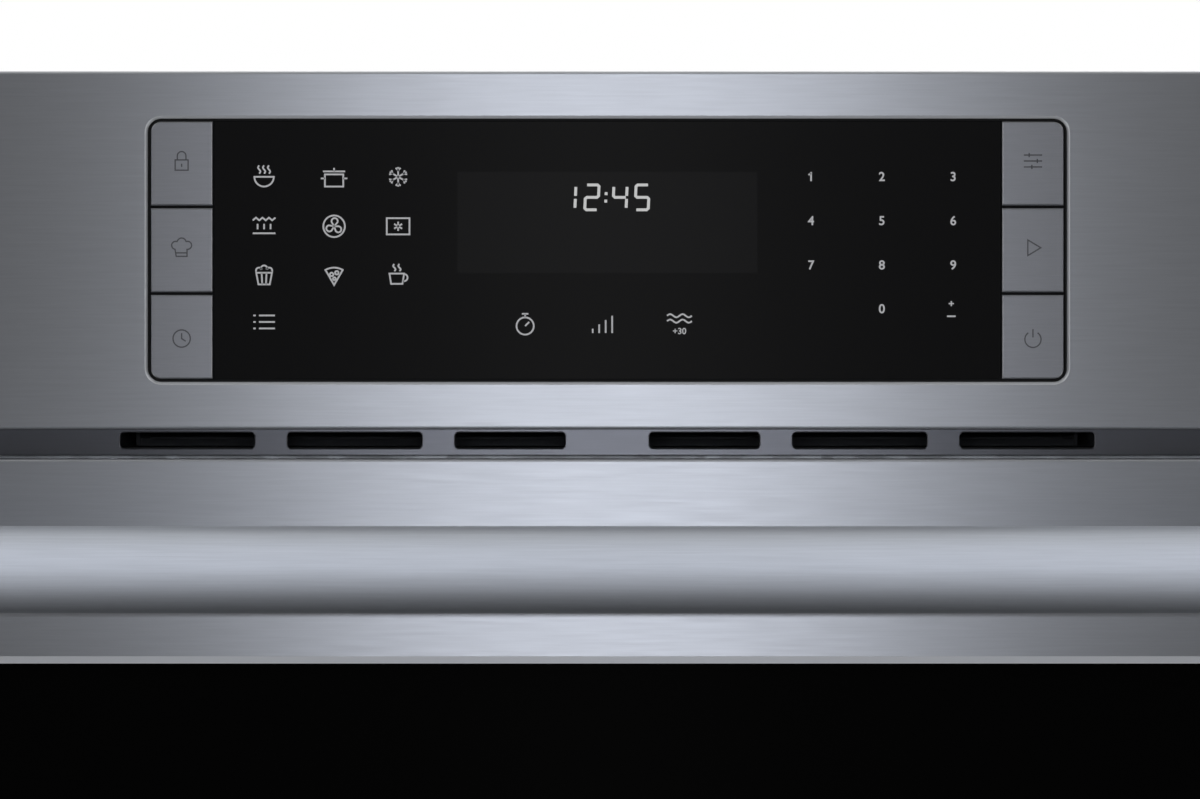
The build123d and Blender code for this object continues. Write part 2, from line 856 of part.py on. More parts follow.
# Latch hooks: one at each top corner of the door, turning on a moulded pin
def make_latch_hook(side):
    low = hook_blade_base - hook_half_height
    barb_low = -hook_half_height - hook_barb
    barb_back = hook_reach - hook_barb_tip
    barb_front = barb_back - hook_barb_width
    outline = Polyline(
        (-hook_half_height, low),
        (-hook_half_height, hook_half_height),
        (hook_reach - hook_nose, hook_half_height),
        (hook_reach, 0),
        (barb_back, barb_low),
        (barb_front, barb_low),
        (barb_front, low),
        close=True,
    )
    x = side * latch_x
    face = side_plane(x - hook_thickness / 2) * Pos(latch_depth, latch_z) * make_face(outline)
    pin_length = hook_thickness + 2 * (hook_ear_gap + hook_ear)
    return extrude(face, hook_thickness) + rod_x(around(x, pin_length), latch_depth, latch_z, hook_pin_radius)


latch_housing_back = latch_depth + hook_reach + 2 * latch_housing_wall
latch_slot_z = (latch_z - latch_slot_below, latch_z + latch_slot_above)


def make_latch_housings():
    housings = []
    outside_z = (latch_slot_z[0] - latch_housing_wall, latch_slot_z[1] + latch_housing_wall)
    hollow_depth = (frame_back, latch_housing_back - latch_housing_wall)
    for x in (-latch_x, latch_x):
        housing = block(around(x, latch_housing_width), (frame_back, latch_housing_back), outside_z)
        housings.append(housing - block(around(x, latch_slot_width), hollow_depth, latch_slot_z))
    return Compound(housings)


# Interlock switches: two on each latch housing, with blade terminals at the back
def make_interlock_switches():
    switches = []
    near = latch_x + latch_housing_width / 2
    far = near + latch_switch_width
    back = frame_back + latch_switch_gap + latch_switch_length
    for side in (-1, 1):
        for row in (-1, 1):
            z = latch_z + row * (latch_switch_height + latch_switch_gap) / 2
            depth = (frame_back + latch_switch_gap, back)
            switch = block(on_side(side, near, far), depth, around(z, latch_switch_height))
            for blade in (-1, 0, 1):
                x = around(side * (near + far) / 2, blade_size[0])
                blade_z = around(z + blade * blade_pitch, blade_size[2])
                switch += block(x, (back, back + blade_size[1]), blade_z)
            switches.append(switch)
    return Compound(switches)


# Front frame: the steel plate that everything hangs on, screwed to the cabinet through its sides
def case_screw_places():
    """Depth and height of each case screw on one side: two at the front frame, two at the rear panel."""
    heights = (case_top - case_screw_drop, base_top + case_screw_low)
    depths = (frame_back + case_tab / 2, rear_inside - case_tab / 2)
    return [(depth, z) for depth in depths for z in heights]


def make_front_frame():
    top = front_height - front_sheet - slip
    through = (frame_front, frame_back)
    frame = block((-frame_half, frame_half), through, (skid_height, top))
    frame -= pane(cavity_width, cavity_height, cavity_z, through, cavity_corner)
    bay_half = case_half - bay_side_rail
    frame -= block((-bay_half, bay_half), through, (trim_bottom, top - frame_top_rail))
    lug_width = hinge_lug_thickness + 2 * hinge_ear_gap
    lug_height = 2 * (hinge_lug_half_height + hinge_swing_gap)
    for side in (-1, 1):
        frame -= block(around(side * hinge_x, lug_width), through, around(hinge_z, lug_height))
        frame -= block(around(side * latch_x, latch_slot_width), through, latch_slot_z)
        for z in mount_heights:
            frame -= rod_y(side * mount_x, through, z, mount_hole_radius)
        for depth, z in case_screw_places()[:2]:
            wall = on_side(side, panel_half - frame_sheet, panel_half)
            tab = block(wall, (frame_front, depth + case_tab / 2), around(z, case_tab))
            frame += tab - rod_x(wall, depth, z, case_screw_radius + running)
    return frame


# Outer case: the wrapper over the top and sides, the base plate with its skids, and the rear panel
def louvre_starts(count, pitch):
    """Where each of a row of louvres starts, counted from the first."""
    return [index * pitch for index in range(count)]


def make_case_wrapper():
    case = block((-case_half, case_half), (frame_back, body_depth), (skid_height, case_top))
    inside = (-case_half + case_sheet, case_half - case_sheet)
    case -= block(inside, (frame_back, body_depth), (skid_height, case_top - case_sheet))
    side_start = body_depth - side_louvre_rear_gap
    for side in (-1, 1):
        wall = on_side(side, case_half - case_sheet, case_half)
        for depth, z in case_screw_places():
            case -= rod_x(wall, depth, z, case_screw_radius + running)
        for along in louvre_starts(side_louvre_columns, louvre_length + louvre_pitch):
            depth = (side_start + along, side_start + along + louvre_length)
            for down in louvre_starts(side_louvre_rows, louvre_pitch):
                case -= block(wall, depth, around(case_top - side_louvre_drop - down, louvre_height))
    roof = (case_top - case_sheet, case_top)
    for back in louvre_starts(top_louvre_rows, louvre_pitch):
        depth = around(body_depth - top_louvre_rear_gap + back, louvre_height)
        for column in range(top_louvre_columns):
            x = (column - (top_louvre_columns - 1) / 2) * (louvre_length + louvre_pitch)
            case -= block(around(x, louvre_length), depth, roof)
    return case - rod_z(inlet_x, inlet_depth, roof, inlet_radius + inlet_wall)


def make_base_plate():
    depth = (frame_back, rear_inside - slip)
    plate = block((-panel_half, panel_half), depth, (skid_height, base_top))
    for x in (-skid_x, skid_x):
        plate += block(around(x, skid_width), depth, (0, base_top))
        plate -= block(around(x, skid_width - 2 * base_sheet), depth, (base_sheet, base_top))
    return plate


def make_rear_panel():
    heights = (base_top + slip, case_top - case_sheet - slip)
    panel = block((-panel_half, panel_half), (rear_inside, body_depth), heights)
    for side in (-1, 1):
        flange = on_side(side, panel_half - case_sheet, panel_half)
        panel += block(flange, (rear_inside - case_tab, body_depth), heights)
        for depth, z in case_screw_places()[2:]:
            panel -= rod_x(flange, depth, z, case_screw_radius + running)
    for row in range(rear_louvre_rows):
        z = cavity_z + (row - (rear_louvre_rows - 1) / 2) * louvre_pitch
        for column in range(rear_louvre_columns):
            x = (column - (rear_louvre_columns - 1) / 2) * (louvre_length + louvre_pitch)
            panel -= pane(louvre_length, louvre_height, z, (rear_inside, body_depth), x=x)
    return panel


def make_case_screws():
    screws = []
    for side in (-1, 1):
        for depth, z in case_screw_places():
            shank = on_side(side, case_half - case_screw_length, case_half)
            head = on_side(side, case_half, case_half + case_screw_head_height)
            screw = rod_x(shank, depth, z, case_screw_radius)
            screws.append(screw + rod_x(head, depth, z, case_screw_head_radius))
    return Compound(screws)


# Conduit inlet: a flanged bush with its nut, in the top of the case, for the supply cable
inlet_x = case_half - inlet_side_gap
inlet_depth = body_depth - inlet_rear_gap


def make_conduit_inlet():
    bottom = case_top - inlet_height
    bush = rod_z(inlet_x, inlet_depth, (bottom, case_top), inlet_radius + inlet_wall - running)
    flange_radius = inlet_radius + inlet_flange
    bush += rod_z(inlet_x, inlet_depth, (case_top, case_top + inlet_wall), flange_radius)
    bush += rod_z(inlet_x, inlet_depth, (bottom, case_top - case_sheet), flange_radius)
    return bush - rod_z(inlet_x, inlet_depth, (bottom, case_top + inlet_wall), inlet_radius)


# Cavity liner: the welded enamelled box that the food goes in
def element_xs():
    """X of each straight run of the broil element."""
    return [(run - (element_runs - 1) / 2) * element_pitch for run in range(element_runs)]


element_tails = (element_xs()[0], element_xs()[-1])


def guide_window(x):
    """The opening between the waveguide and the cavity, through one wall."""
    depth = around(guide_depth, guide_window_width)
    return block(x, depth, around(guide_window_z, guide_window_height))


def make_cavity_liner():
    outer_x = (-cavity_outer_half, cavity_outer_half)
    outer_z = (cavity_floor - inner_sheet, cavity_top + inner_sheet)
    liner = block(outer_x, (frame_back, cavity_outer_back), outer_z)
    flange = (cavity_width + 2 * cavity_flange, cavity_height + 2 * cavity_flange)
    liner += pane(*flange, cavity_z, (frame_back, frame_back + inner_sheet))
    liner -= block((-cavity_half, cavity_half), (frame_back, cavity_back), (cavity_floor, cavity_top))
    rear_wall = (cavity_back, cavity_outer_back)
    liner -= rod_y(0, rear_wall, cavity_z, fan_hole_radius)
    floor = (cavity_floor - inner_sheet, cavity_floor)
    liner -= rod_z(0, turntable_depth, floor, coupler_shaft_radius + coupler_hole_gap)
    liner -= guide_window((cavity_half, cavity_outer_half))
    liner -= rod_x((-cavity_outer_half, -cavity_half), lamp_depth, lamp_z, lamp_hole_radius)
    for x in element_tails:
        liner -= rod_y(x, rear_wall, element_z, element_radius + slip)
    return liner


# Insulation: the mineral fibre jacket round the cavity
def make_insulation_jacket():
    bottom = cavity_floor - inner_sheet - insulation
    back = cavity_outer_back + insulation
    front = frame_back + inner_sheet
    jacket = block((-jacket_half, jacket_half), (front, back), (bottom, shelf_z))
    core_z = (cavity_floor - inner_sheet, cavity_top + inner_sheet)
    jacket -= block((-cavity_outer_half, cavity_outer_half), (front, cavity_outer_back), core_z)
    rear = (cavity_outer_back, back)
    jacket -= rod_y(0, rear, cavity_z, chamber_radius + chamber_flange + slip)
    for x in element_tails:
        jacket -= rod_y(x, rear, element_z, element_radius + coupler_hole_gap)
    below = (bottom, cavity_floor)
    jacket -= rod_z(0, turntable_depth, below, coupler_shaft_radius + 2 * coupler_hole_gap)
    guide = around(guide_depth, guide_width + 2 * slip)
    jacket -= block((cavity_outer_half, jacket_half), guide, (guide_bottom - slip, shelf_z))
    lamp = lamp_size + 2 * slip
    jacket -= block((-jacket_half, -cavity_outer_half), around(lamp_depth, lamp), around(lamp_z, lamp))
    return jacket


# Waveguide: the duct that brings the microwaves from the magnetron to the cavity's right wall
def make_waveguide():
    x = (cavity_outer_half, cavity_outer_half + guide_thickness)
    duct = block(x, around(guide_depth, guide_width), (guide_bottom, guide_top))
    inside_x = (x[0] + guide_wall, x[1] - guide_wall)
    inside_z = (guide_bottom + guide_wall, guide_top - guide_wall)
    duct -= block(inside_x, around(guide_depth, guide_width - 2 * guide_wall), inside_z)
    near_wall = (x[0], x[0] + guide_wall)
    duct -= guide_window(near_wall)
    return duct - rod_x(near_wall, guide_depth, magnetron_z, antenna_radius + antenna_hole_gap)


# Mica cover: the thin sheet over the waveguide's opening in the cavity
def make_mica_cover():
    width = guide_window_width + 2 * mica_margin
    height = guide_window_height + 2 * mica_margin
    x = (cavity_half - mica_thickness, cavity_half)
    cover = block(x, around(guide_depth, width), around(guide_window_z, height))
    return fillet(cover.edges().filter_by(Axis.X), mica_corner)


# Magnetron: the tube in its steel yoke, with cooling fins, filter box and antenna
def make_magnetron():
    face = cavity_outer_half
    back = face - magnetron_length
    depth = around(guide_depth, magnetron_width)
    z = around(magnetron_z, magnetron_height)
    tube = block((back, face), depth, z)
    inside = (z[0] + magnetron_yoke, z[1] - magnetron_yoke)
    tube -= block((back + magnetron_yoke, face - magnetron_yoke), depth, inside)
    tube += rod_x((back, face), guide_depth, magnetron_z, magnetron_anode_radius)
    fin_pitch = (magnetron_length - 2 * magnetron_fin_margin) / (magnetron_fins - 1)
    fin_depth = around(guide_depth, magnetron_width - 2 * magnetron_yoke)
    for fin in range(magnetron_fins):
        tube += block(around(back + magnetron_fin_margin + fin * fin_pitch, magnetron_fin), fin_depth, z)
    filter_x = (back - magnetron_filter[0], back)
    filter_depth = around(guide_depth, magnetron_filter[1])
    tube += block(filter_x, filter_depth, around(magnetron_z, magnetron_filter[2]))
    return tube + rod_x((face, face + antenna_length), guide_depth, magnetron_z, antenna_radius)


# High-voltage transformer: a laminated core with two windings, on its foot plate
def make_hv_transformer():
    x = around(transformer_x, transformer_width)
    depth = around(transformer_depth, transformer_length)
    z = (shelf_top + transformer_foot_height, shelf_top + transformer_height)
    limb = transformer_width / 5
    core = block(x, depth, z)
    for start in (x[0] + limb, x[1] - 2 * limb):
        core -= block((start, start + limb), depth, (z[0] + limb, z[1] - limb))
    window_height = z[1] - z[0] - 2 * limb
    coil_height = window_height / 2 - 2 * transformer_coil_gap
    coil_width = transformer_width - 2 * limb - 2 * transformer_coil_gap
    coil_depth = around(transformer_depth, transformer_length + 2 * transformer_coil_reach)
    for quarter in (1, 3):
        coil_z = z[0] + limb + window_height * quarter / 4
        core += block(around(transformer_x, coil_width), coil_depth, around(coil_z, coil_height))
    foot_x = around(transformer_x, transformer_width + 2 * transformer_foot)
    return core + block(foot_x, depth, (shelf_top, z[0]))


# High-voltage capacitor: an oval can with two terminals
def make_hv_capacitor():
    top = shelf_top + capacitor_height
    outline = SlotOverall(capacitor_length, capacitor_width)
    can = extrude(Pos(capacitor_x, face_y + capacitor_depth, shelf_top) * outline, capacitor_height)
    for x in (capacitor_x - capacitor_post_x, capacitor_x + capacitor_post_x):
        can += rod_z(x, capacitor_depth, (top, top + capacitor_post_height), capacitor_post_radius)
    return can


# Broil element: one bent tube under the ceiling, its tails through the back wall, on two hangers
def make_broil_element():
    xs = element_xs()
    ends = (face_y + frame_back + element_front_gap, face_y + cavity_back - element_back_gap)
    tail = face_y + cavity_outer_back + insulation + element_tail
    points = [(xs[0], tail, element_z)]
    for index, (x, next_x) in enumerate(zip(xs, xs[1:])):
        turn = ends[index % 2]
        points += [(x, turn, element_z), (next_x, turn, element_z)]
    points.append((xs[-1], tail, element_z))
    path = FilletPolyline(*points, radius=element_bend)
    solids = sweep(Plane(origin=path @ 0, z_dir=path % 0) * Circle(element_radius), path=path).solids()
    low = element_z - element_radius - running
    depth = around(turntable_depth, 2 * hanger_half_depth)
    for x in (xs[1], xs[-2]):
        hanger = block(around(x, 2 * hanger_half_width), depth, (low - hanger_wire, cavity_top))
        inside = around(x, 2 * (hanger_half_width - hanger_wire))
        solids.append(hanger - block(inside, depth, (low, cavity_top - hanger_wire)))
    return Compound(solids)


# Fan baffle: the pierced plate over the fan, with air drawn in at the middle and blown out round it
def make_fan_baffle():
    through = (cavity_back - baffle_thickness, cavity_back)
    plate = pane(baffle_size, baffle_size, cavity_z, through, baffle_corner)
    rings = [
        ((ring + 1) * baffle_ring_pitch, (ring + 1) * baffle_holes_per_ring)
        for ring in range(baffle_centre_rings)
    ]
    rings.append((baffle_outer_ring, baffle_outer_holes))
    plate -= rod_y(0, through, cavity_z, baffle_hole_radius)
    for radius, count in rings:
        for index in range(count):
            angle = 2 * math.pi * index / count
            x = radius * math.cos(angle)
            z = cavity_z + radius * math.sin(angle)
            plate -= rod_y(x, through, z, baffle_hole_radius)
    return plate


# Convection chamber and its ring heater, open at the bottom where a ferrule on each end goes back
heater_half_angle = math.radians(heater_open_angle)
heater_tail_z = cavity_z - heater_ring_radius * math.cos(heater_half_angle)
heater_tail_x = heater_ring_radius * math.sin(heater_half_angle)
heater_depth = (cavity_outer_back + chamber_back) / 2


def make_convection_chamber():
    flange_depth = (cavity_outer_back, cavity_outer_back + inner_sheet)
    inside_depth = (cavity_outer_back, chamber_back - inner_sheet)
    back_wall = (chamber_back - inner_sheet, chamber_back)
    chamber = rod_y(0, (cavity_outer_back, chamber_back), cavity_z, chamber_radius)
    chamber += rod_y(0, flange_depth, cavity_z, chamber_radius + chamber_flange)
    chamber -= rod_y(0, inside_depth, cavity_z, chamber_radius - inner_sheet)
    chamber -= rod_y(0, back_wall, cavity_z, fan_shaft_radius + chamber_shaft_gap)
    for x in (-heater_tail_x, heater_tail_x):
        chamber -= rod_y(x, back_wall, heater_tail_z, heater_ferrule_radius + slip)
    return chamber


def make_convection_heater():
    section = Pos(heater_ring_radius, 0, 0) * Rot(90, 0, 0) * Circle(element_radius)
    ring = revolve(section, Axis.Z, 360 - 2 * heater_open_angle)
    upright = Pos(0, face_y + heater_depth, cavity_z) * Rot(90, 0, 0)
    heater = upright * Rot(0, 0, heater_open_angle - 90) * ring
    ferrule_depth = (heater_depth - heater_ferrule_radius, chamber_back + heater_tail)
    for x in (-heater_tail_x, heater_tail_x):
        heater += rod_y(x, ferrule_depth, heater_tail_z, heater_ferrule_radius)
    return heater


# Convection fan: a plate with bent-up blades on the motor's shaft
def make_convection_fan():
    fan = rod_y(0, (fan_back - fan_blade_thickness, fan_back), cavity_z, fan_radius)
    fan += rod_y(0, (fan_front, fan_back + fan_setback), cavity_z, fan_hub_radius)
    across = around(0, fan_blade_thickness)
    blade = block((fan_blade_start, fan_radius), (fan_front, fan_back), across)
    for index in range(fan_blades):
        fan += Pos(0, 0, cavity_z) * Rot(0, 360 * index / fan_blades, 0) * blade
    return fan + rod_y(0, (fan_front, fan_motor_back + fan_motor_coil), cavity_z, fan_shaft_radius)


# Convection motor: a shaded-pole motor with its coil on top, on four posts behind the chamber
def make_convection_motor():
    half = fan_motor_size / 2
    stack_depth = (fan_motor_front, fan_motor_front + fan_motor_stack)
    coil_depth = (fan_motor_front - fan_motor_coil, fan_motor_back)
    coil_z = (cavity_z + half / 2, cavity_z + half + fan_motor_coil)
    motor = pane(fan_motor_size, fan_motor_size, cavity_z, stack_depth)
    motor += block((-half / 2, half / 2), coil_depth, coil_z)
    motor += rod_y(0, coil_depth, cavity_z, fan_motor_boss_radius)
    post = half - 2 * fan_motor_post_radius
    for x in (-post, post):
        for z in (cavity_z - post, cavity_z + post):
            motor += rod_y(x, (chamber_back, fan_motor_front), z, fan_motor_post_radius)
    return motor - rod_y(0, (chamber_back, body_depth), cavity_z, fan_shaft_radius + running)


# Turntable tray: pressed glass with a raised rim and three slots in its underside for the coupler
def make_turntable_tray():
    foot_radius = tray_radius - tray_rim_slope
    rim_inside = tray_radius - tray_thickness
    top = tray_bottom + tray_rim
    profile = Polyline(
        (0, tray_bottom),
        (foot_radius, tray_bottom),
        (tray_radius, top - tray_thickness),
        (tray_radius, top),
        (rim_inside, top),
        (foot_radius - tray_thickness / 2, tray_bottom + tray_thickness),
        (0, tray_bottom + tray_thickness),
        close=True,
    )
    centre = Pos(0, face_y + turntable_depth, 0)
    tray = centre * revolve(Plane.XZ * make_face(profile), Axis.Z)
    slot_size = (coupler_lug_length + slip, coupler_lug_width + 2 * slip, coupler_lug_height + slip)
    slot = Box(*slot_size, align=(Align.MIN, Align.CENTER, Align.MIN))
    for lug in range(3):
        tray -= centre * Pos(0, 0, tray_bottom) * Rot(0, 0, 120 * lug) * slot
    return tray


# Drive coupler: the moulded three-lug boss that carries the tray round on the motor's shaft
def make_drive_coupler():
    hub_bottom = cavity_floor + coupler_floor_gap
    hub_top = tray_bottom - slip
    stem = (turntable_motor_top + coupler_motor_gap, hub_top)
    coupler = rod_z(0, turntable_depth, stem, coupler_shaft_radius)
    coupler += rod_z(0, turntable_depth, (hub_bottom, hub_top), coupler_radius)
    lug_size = (coupler_lug_length, coupler_lug_width, tray_bottom + coupler_lug_height - hub_bottom)
    lug = Box(*lug_size, align=(Align.MIN, Align.CENTER, Align.MIN))
    for index in range(3):
        coupler += Pos(0, face_y + turntable_depth, hub_bottom) * Rot(0, 0, 120 * index) * lug
    socket = (turntable_motor_top, turntable_motor_top + turntable_shaft_length + running)
    return coupler - rod_z(0, turntable_depth, socket, turntable_shaft_radius + running)


# Turntable motor: a flat geared motor on the base plate, with two screw ears
def make_turntable_motor():
    motor = rod_z(0, turntable_depth, (base_top, turntable_motor_top), turntable_motor_radius)
    shaft = (turntable_motor_top, turntable_motor_top + turntable_shaft_length)
    motor += rod_z(0, turntable_depth, shaft, turntable_shaft_radius)
    ear = turntable_motor_radius + turntable_ear_reach
    plate_z = (base_top, base_top + turntable_ear_height)
    plate_depth = around(turntable_depth, 2 * turntable_ear_half_width)
    plate = block((-ear, ear), plate_depth, plate_z)
    for x in (turntable_ear_reach / 2 - ear, ear - turntable_ear_reach / 2):
        plate -= rod_z(x, turntable_depth, plate_z, turntable_ear_hole)
    return motor + plate


# Roller ring: a flat ring with three axles, and a wheel on each that carries the tray
roller_inside = roller_orbit - roller_width / 2
roller_outside = roller_orbit + roller_width / 2
roller_angles = (90, 210, 330)


def at_roller(angle):
    """The place of a roller whose own axle runs along X from the turntable's centre."""
    return Pos(0, face_y + turntable_depth, ring_z) * Rot(0, 0, angle)


def make_roller_ring():
    outer = roller_inside - slip
    z = around(ring_z, ring_thickness)
    ring = rod_z(0, turntable_depth, z, outer)
    ring -= rod_z(0, turntable_depth, z, outer - ring_width)
    cap_start = roller_outside + slip
    cap_end = cap_start + roller_cap
    axle = rod_x((outer - ring_width / 2, cap_end), -face_y, 0, roller_axle_radius)
    axle += rod_x((cap_start, cap_end), -face_y, 0, ring_thickness / 2 + roller_cap)
    for angle in roller_angles:
        ring += at_roller(angle) * axle
    return ring


def make_roller_wheel(angle):
    span = (roller_inside, roller_outside)
    wheel = rod_x(span, -face_y, 0, roller_radius)
    wheel = chamfer(wheel.edges().filter_by(GeomType.CIRCLE), roller_bevel)
    wheel -= rod_x(span, -face_y, 0, roller_axle_radius + roller_bore_clearance)
    return at_roller(angle) * wheel


# Cavity lamp: a small steel housing on the left wall with its bulb
def make_cavity_lamp():
    x = (-cavity_outer_half - lamp_thickness, -cavity_outer_half)
    inside = lamp_size - 2 * lamp_wall
    back = x[0] + lamp_wall
    housing = block(x, around(lamp_depth, lamp_size), around(lamp_z, lamp_size))
    housing -= block((back, x[1]), around(lamp_depth, inside), around(lamp_z, inside))
    bulb = rod_x((back, back + lamp_cap_length), lamp_depth, lamp_z, lamp_cap_radius)
    bulb_x = back + lamp_cap_length + lamp_bulb_radius / 2
    bulb += Pos(bulb_x, face_y + lamp_depth, lamp_z) * Sphere(lamp_bulb_radius)
    return Compound([*housing.solids(), *bulb.solids()])


# Component shelf: the folded sheet over the cavity that carries the blower and the supply parts
def make_component_shelf():
    depth = (shelf_front, rear_inside - case_tab - slip)
    shelf = block((-panel_half, panel_half), depth, (shelf_z, shelf_top))
    for side in (-1, 1):
        flange = on_side(side, panel_half - shelf_sheet, panel_half)
        shelf += block(flange, depth, (shelf_z, shelf_z + shelf_flange))
    notch_x = (cavity_outer_half - slip, cavity_outer_half + guide_thickness + slip)
    return shelf - block(notch_x, around(guide_depth, guide_width + 2 * slip), (shelf_z, shelf_top))


# Cooling blower: a long cross-flow wheel in a housing whose flat duct runs forward to the air outlet
blower_half_length = (
    vent_centre_gap / 2 + vent_inner_slot + 2 * vent_outer_slot + 2 * vent_slot_gap + blower_end_margin
)
duct_front = trim_face + front_sheet + slip
duct_z = (trim_bottom + front_sheet + slip, trim_top - front_sheet - slip)


def blower_profile(inset):
    """The housing's section: a round scroll joined to the flat duct, drawn in by the inset."""
    scroll = Pos(blower_depth, blower_z) * Circle(blower_radius - inset)
    length = blower_depth - duct_front
    middle = (duct_front + length / 2, (duct_z[0] + duct_z[1]) / 2)
    return scroll + Pos(*middle) * Rectangle(length, duct_z[1] - duct_z[0] - 2 * inset)


def make_blower_housing():
    half = blower_half_length
    inner_half = half - blower_wall
    housing = extrude(side_plane(-half) * blower_profile(0), 2 * half)
    foot_depth = around(blower_depth, 2 * blower_foot_reach)
    for side in (-1, 1):
        foot_x = on_side(side, half - blower_foot_width, half)
        housing += block(foot_x, foot_depth, (shelf_top, blower_z))
    housing -= extrude(side_plane(-inner_half) * blower_profile(blower_wall), 2 * inner_half)
    inlet_half = half - blower_inlet_margin
    inlet_depth_range = (blower_depth, blower_depth + blower_radius)
    inlet_z = (blower_z + blower_inlet_rise, blower_z + blower_radius)
    housing -= block((-inlet_half, inlet_half), inlet_depth_range, inlet_z)
    return housing - rod_x((-half, half), blower_depth, blower_z, blower_shaft_radius + running)


def make_blower_wheel():
    half = blower_half_length - blower_wall - blower_wheel_gap
    shaft_x = (-blower_half_length, blower_half_length + blower_motor_length)
    wheel = rod_x(shaft_x, blower_depth, blower_z, blower_shaft_radius)
    for start in (-half, half - blower_wheel_disc):
        wheel += rod_x((start, start + blower_wheel_disc), blower_depth, blower_z, blower_wheel_radius)
    blade = Box(2 * half, blower_blade_chord, blower_blade_thickness)
    place = Pos(0, blower_wheel_radius - blower_blade_chord / 2, 0) * Rot(blower_blade_angle, 0, 0)
    axis = Pos(0, face_y + blower_depth, blower_z)
    for index in range(blower_blades):
        wheel += axis * Rot(360 * index / blower_blades, 0, 0) * place * blade
    return wheel


def make_blower_motor():
    x = (blower_half_length, blower_half_length + blower_motor_length)
    body_x = (x[0] + blower_motor_gap, x[1])
    size = blower_motor_size
    motor = block(body_x, around(blower_depth, size), around(blower_z, size))
    coil_z = (blower_z + size / 4, blower_z + size / 2 + blower_motor_gap)
    motor += block(body_x, around(blower_depth, size / 2), coil_z)
    motor += rod_x(x, blower_depth, blower_z, blower_motor_boss)
    return motor - rod_x(x, blower_depth, blower_z, blower_shaft_radius + running)


def make_all():
    """Every sub-part by its node name."""
    parts = {
        "control_fascia": make_control_fascia(),
        "control_bezel": make_control_bezel(),
        "control_glass": make_control_glass(),
        "display_module": make_display_module(),
        "control_board": make_control_board(),
        "vent_trim": make_vent_trim(),
        "door_skin": make_door_skin(),
        "door_glass": make_door_glass(),
        "door_pan": make_door_pan(),
        "door_screen": make_door_screen(),
        "door_inner_glass": make_door_inner_glass(),
        "door_inner_trim": make_door_inner_trim(),
        "handle_bar": make_handle_bar(),
        "handle_posts": make_handle_posts(),
        "door_screws": make_door_screws(),
        "hinge_lugs": make_hinge_lugs(),
        "hinge_pins": make_hinge_pins(),
        "door_hinge_brackets": make_door_hinge_brackets(),
        "hinge_springs": make_hinge_springs(),
        "latch_hook_left": make_latch_hook(-1),
        "latch_hook_right": make_latch_hook(1),
        "latch_housings": make_latch_housings(),
        "interlock_switches": make_interlock_switches(),
        "front_frame": make_front_frame(),
        "case_wrapper": make_case_wrapper(),
        "base_plate": make_base_plate(),
        "rear_panel": make_rear_panel(),
        "case_screws": make_case_screws(),
        "conduit_inlet": make_conduit_inlet(),
        "cavity_liner": make_cavity_liner(),
        "insulation_jacket": make_insulation_jacket(),
        "waveguide": make_waveguide(),
        "mica_cover": make_mica_cover(),
        "magnetron": make_magnetron(),
        "hv_transformer": make_hv_transformer(),
        "hv_capacitor": make_hv_capacitor(),
        "broil_element": make_broil_element(),
        "fan_baffle": make_fan_baffle(),
        "convection_chamber": make_convection_chamber(),
        "convection_heater": make_convection_heater(),
        "convection_fan": make_convection_fan(),
        "convection_motor": make_convection_motor(),
        "turntable_tray": make_turntable_tray(),
        "drive_coupler": make_drive_coupler(),
        "turntable_motor": make_turntable_motor(),
        "roller_ring": make_roller_ring(),
        "cavity_lamp": make_cavity_lamp(),
        "component_shelf": make_component_shelf(),
        "blower_housing": make_blower_housing(),
        "blower_wheel": make_blower_wheel(),
        "blower_motor": make_blower_motor(),
    }
    key_names = ("left_top", "left_middle", "left_bottom", "right_top", "right_middle", "right_bottom")
    for index, name in enumerate(key_names):
        parts[f"key_{name}"] = make_key(index)
    for number, angle in enumerate(roller_angles, 1):
        parts[f"roller_wheel_{number}"] = make_roller_wheel(angle)
    return parts


os.makedirs("parts", exist_ok=True)
for node, shape in make_all().items():
    export_step(shape, f"parts/{node}.step")
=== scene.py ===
import math

import bmesh
import bpy
from mathutils import Matrix, Vector


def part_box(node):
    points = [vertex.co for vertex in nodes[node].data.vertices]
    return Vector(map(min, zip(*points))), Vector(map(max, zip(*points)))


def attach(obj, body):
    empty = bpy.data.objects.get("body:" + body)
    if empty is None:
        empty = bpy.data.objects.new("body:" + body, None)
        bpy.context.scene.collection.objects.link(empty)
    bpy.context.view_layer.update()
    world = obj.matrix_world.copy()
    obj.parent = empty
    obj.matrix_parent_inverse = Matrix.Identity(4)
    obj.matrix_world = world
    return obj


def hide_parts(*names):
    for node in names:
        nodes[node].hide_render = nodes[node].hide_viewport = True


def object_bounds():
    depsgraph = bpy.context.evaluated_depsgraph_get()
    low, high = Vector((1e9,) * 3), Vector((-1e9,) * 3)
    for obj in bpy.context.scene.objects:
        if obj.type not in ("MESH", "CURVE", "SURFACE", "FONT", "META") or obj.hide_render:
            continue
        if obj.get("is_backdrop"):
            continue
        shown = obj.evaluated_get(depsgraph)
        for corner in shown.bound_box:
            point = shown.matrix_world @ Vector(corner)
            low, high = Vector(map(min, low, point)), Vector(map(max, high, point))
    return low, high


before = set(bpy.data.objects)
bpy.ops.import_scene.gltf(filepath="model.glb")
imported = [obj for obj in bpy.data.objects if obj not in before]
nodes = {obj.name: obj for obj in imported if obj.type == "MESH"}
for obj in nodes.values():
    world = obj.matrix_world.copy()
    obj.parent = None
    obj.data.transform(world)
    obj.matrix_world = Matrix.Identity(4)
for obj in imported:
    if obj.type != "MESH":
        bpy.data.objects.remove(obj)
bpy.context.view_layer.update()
scene = bpy.context.scene
millimetre = 0.001

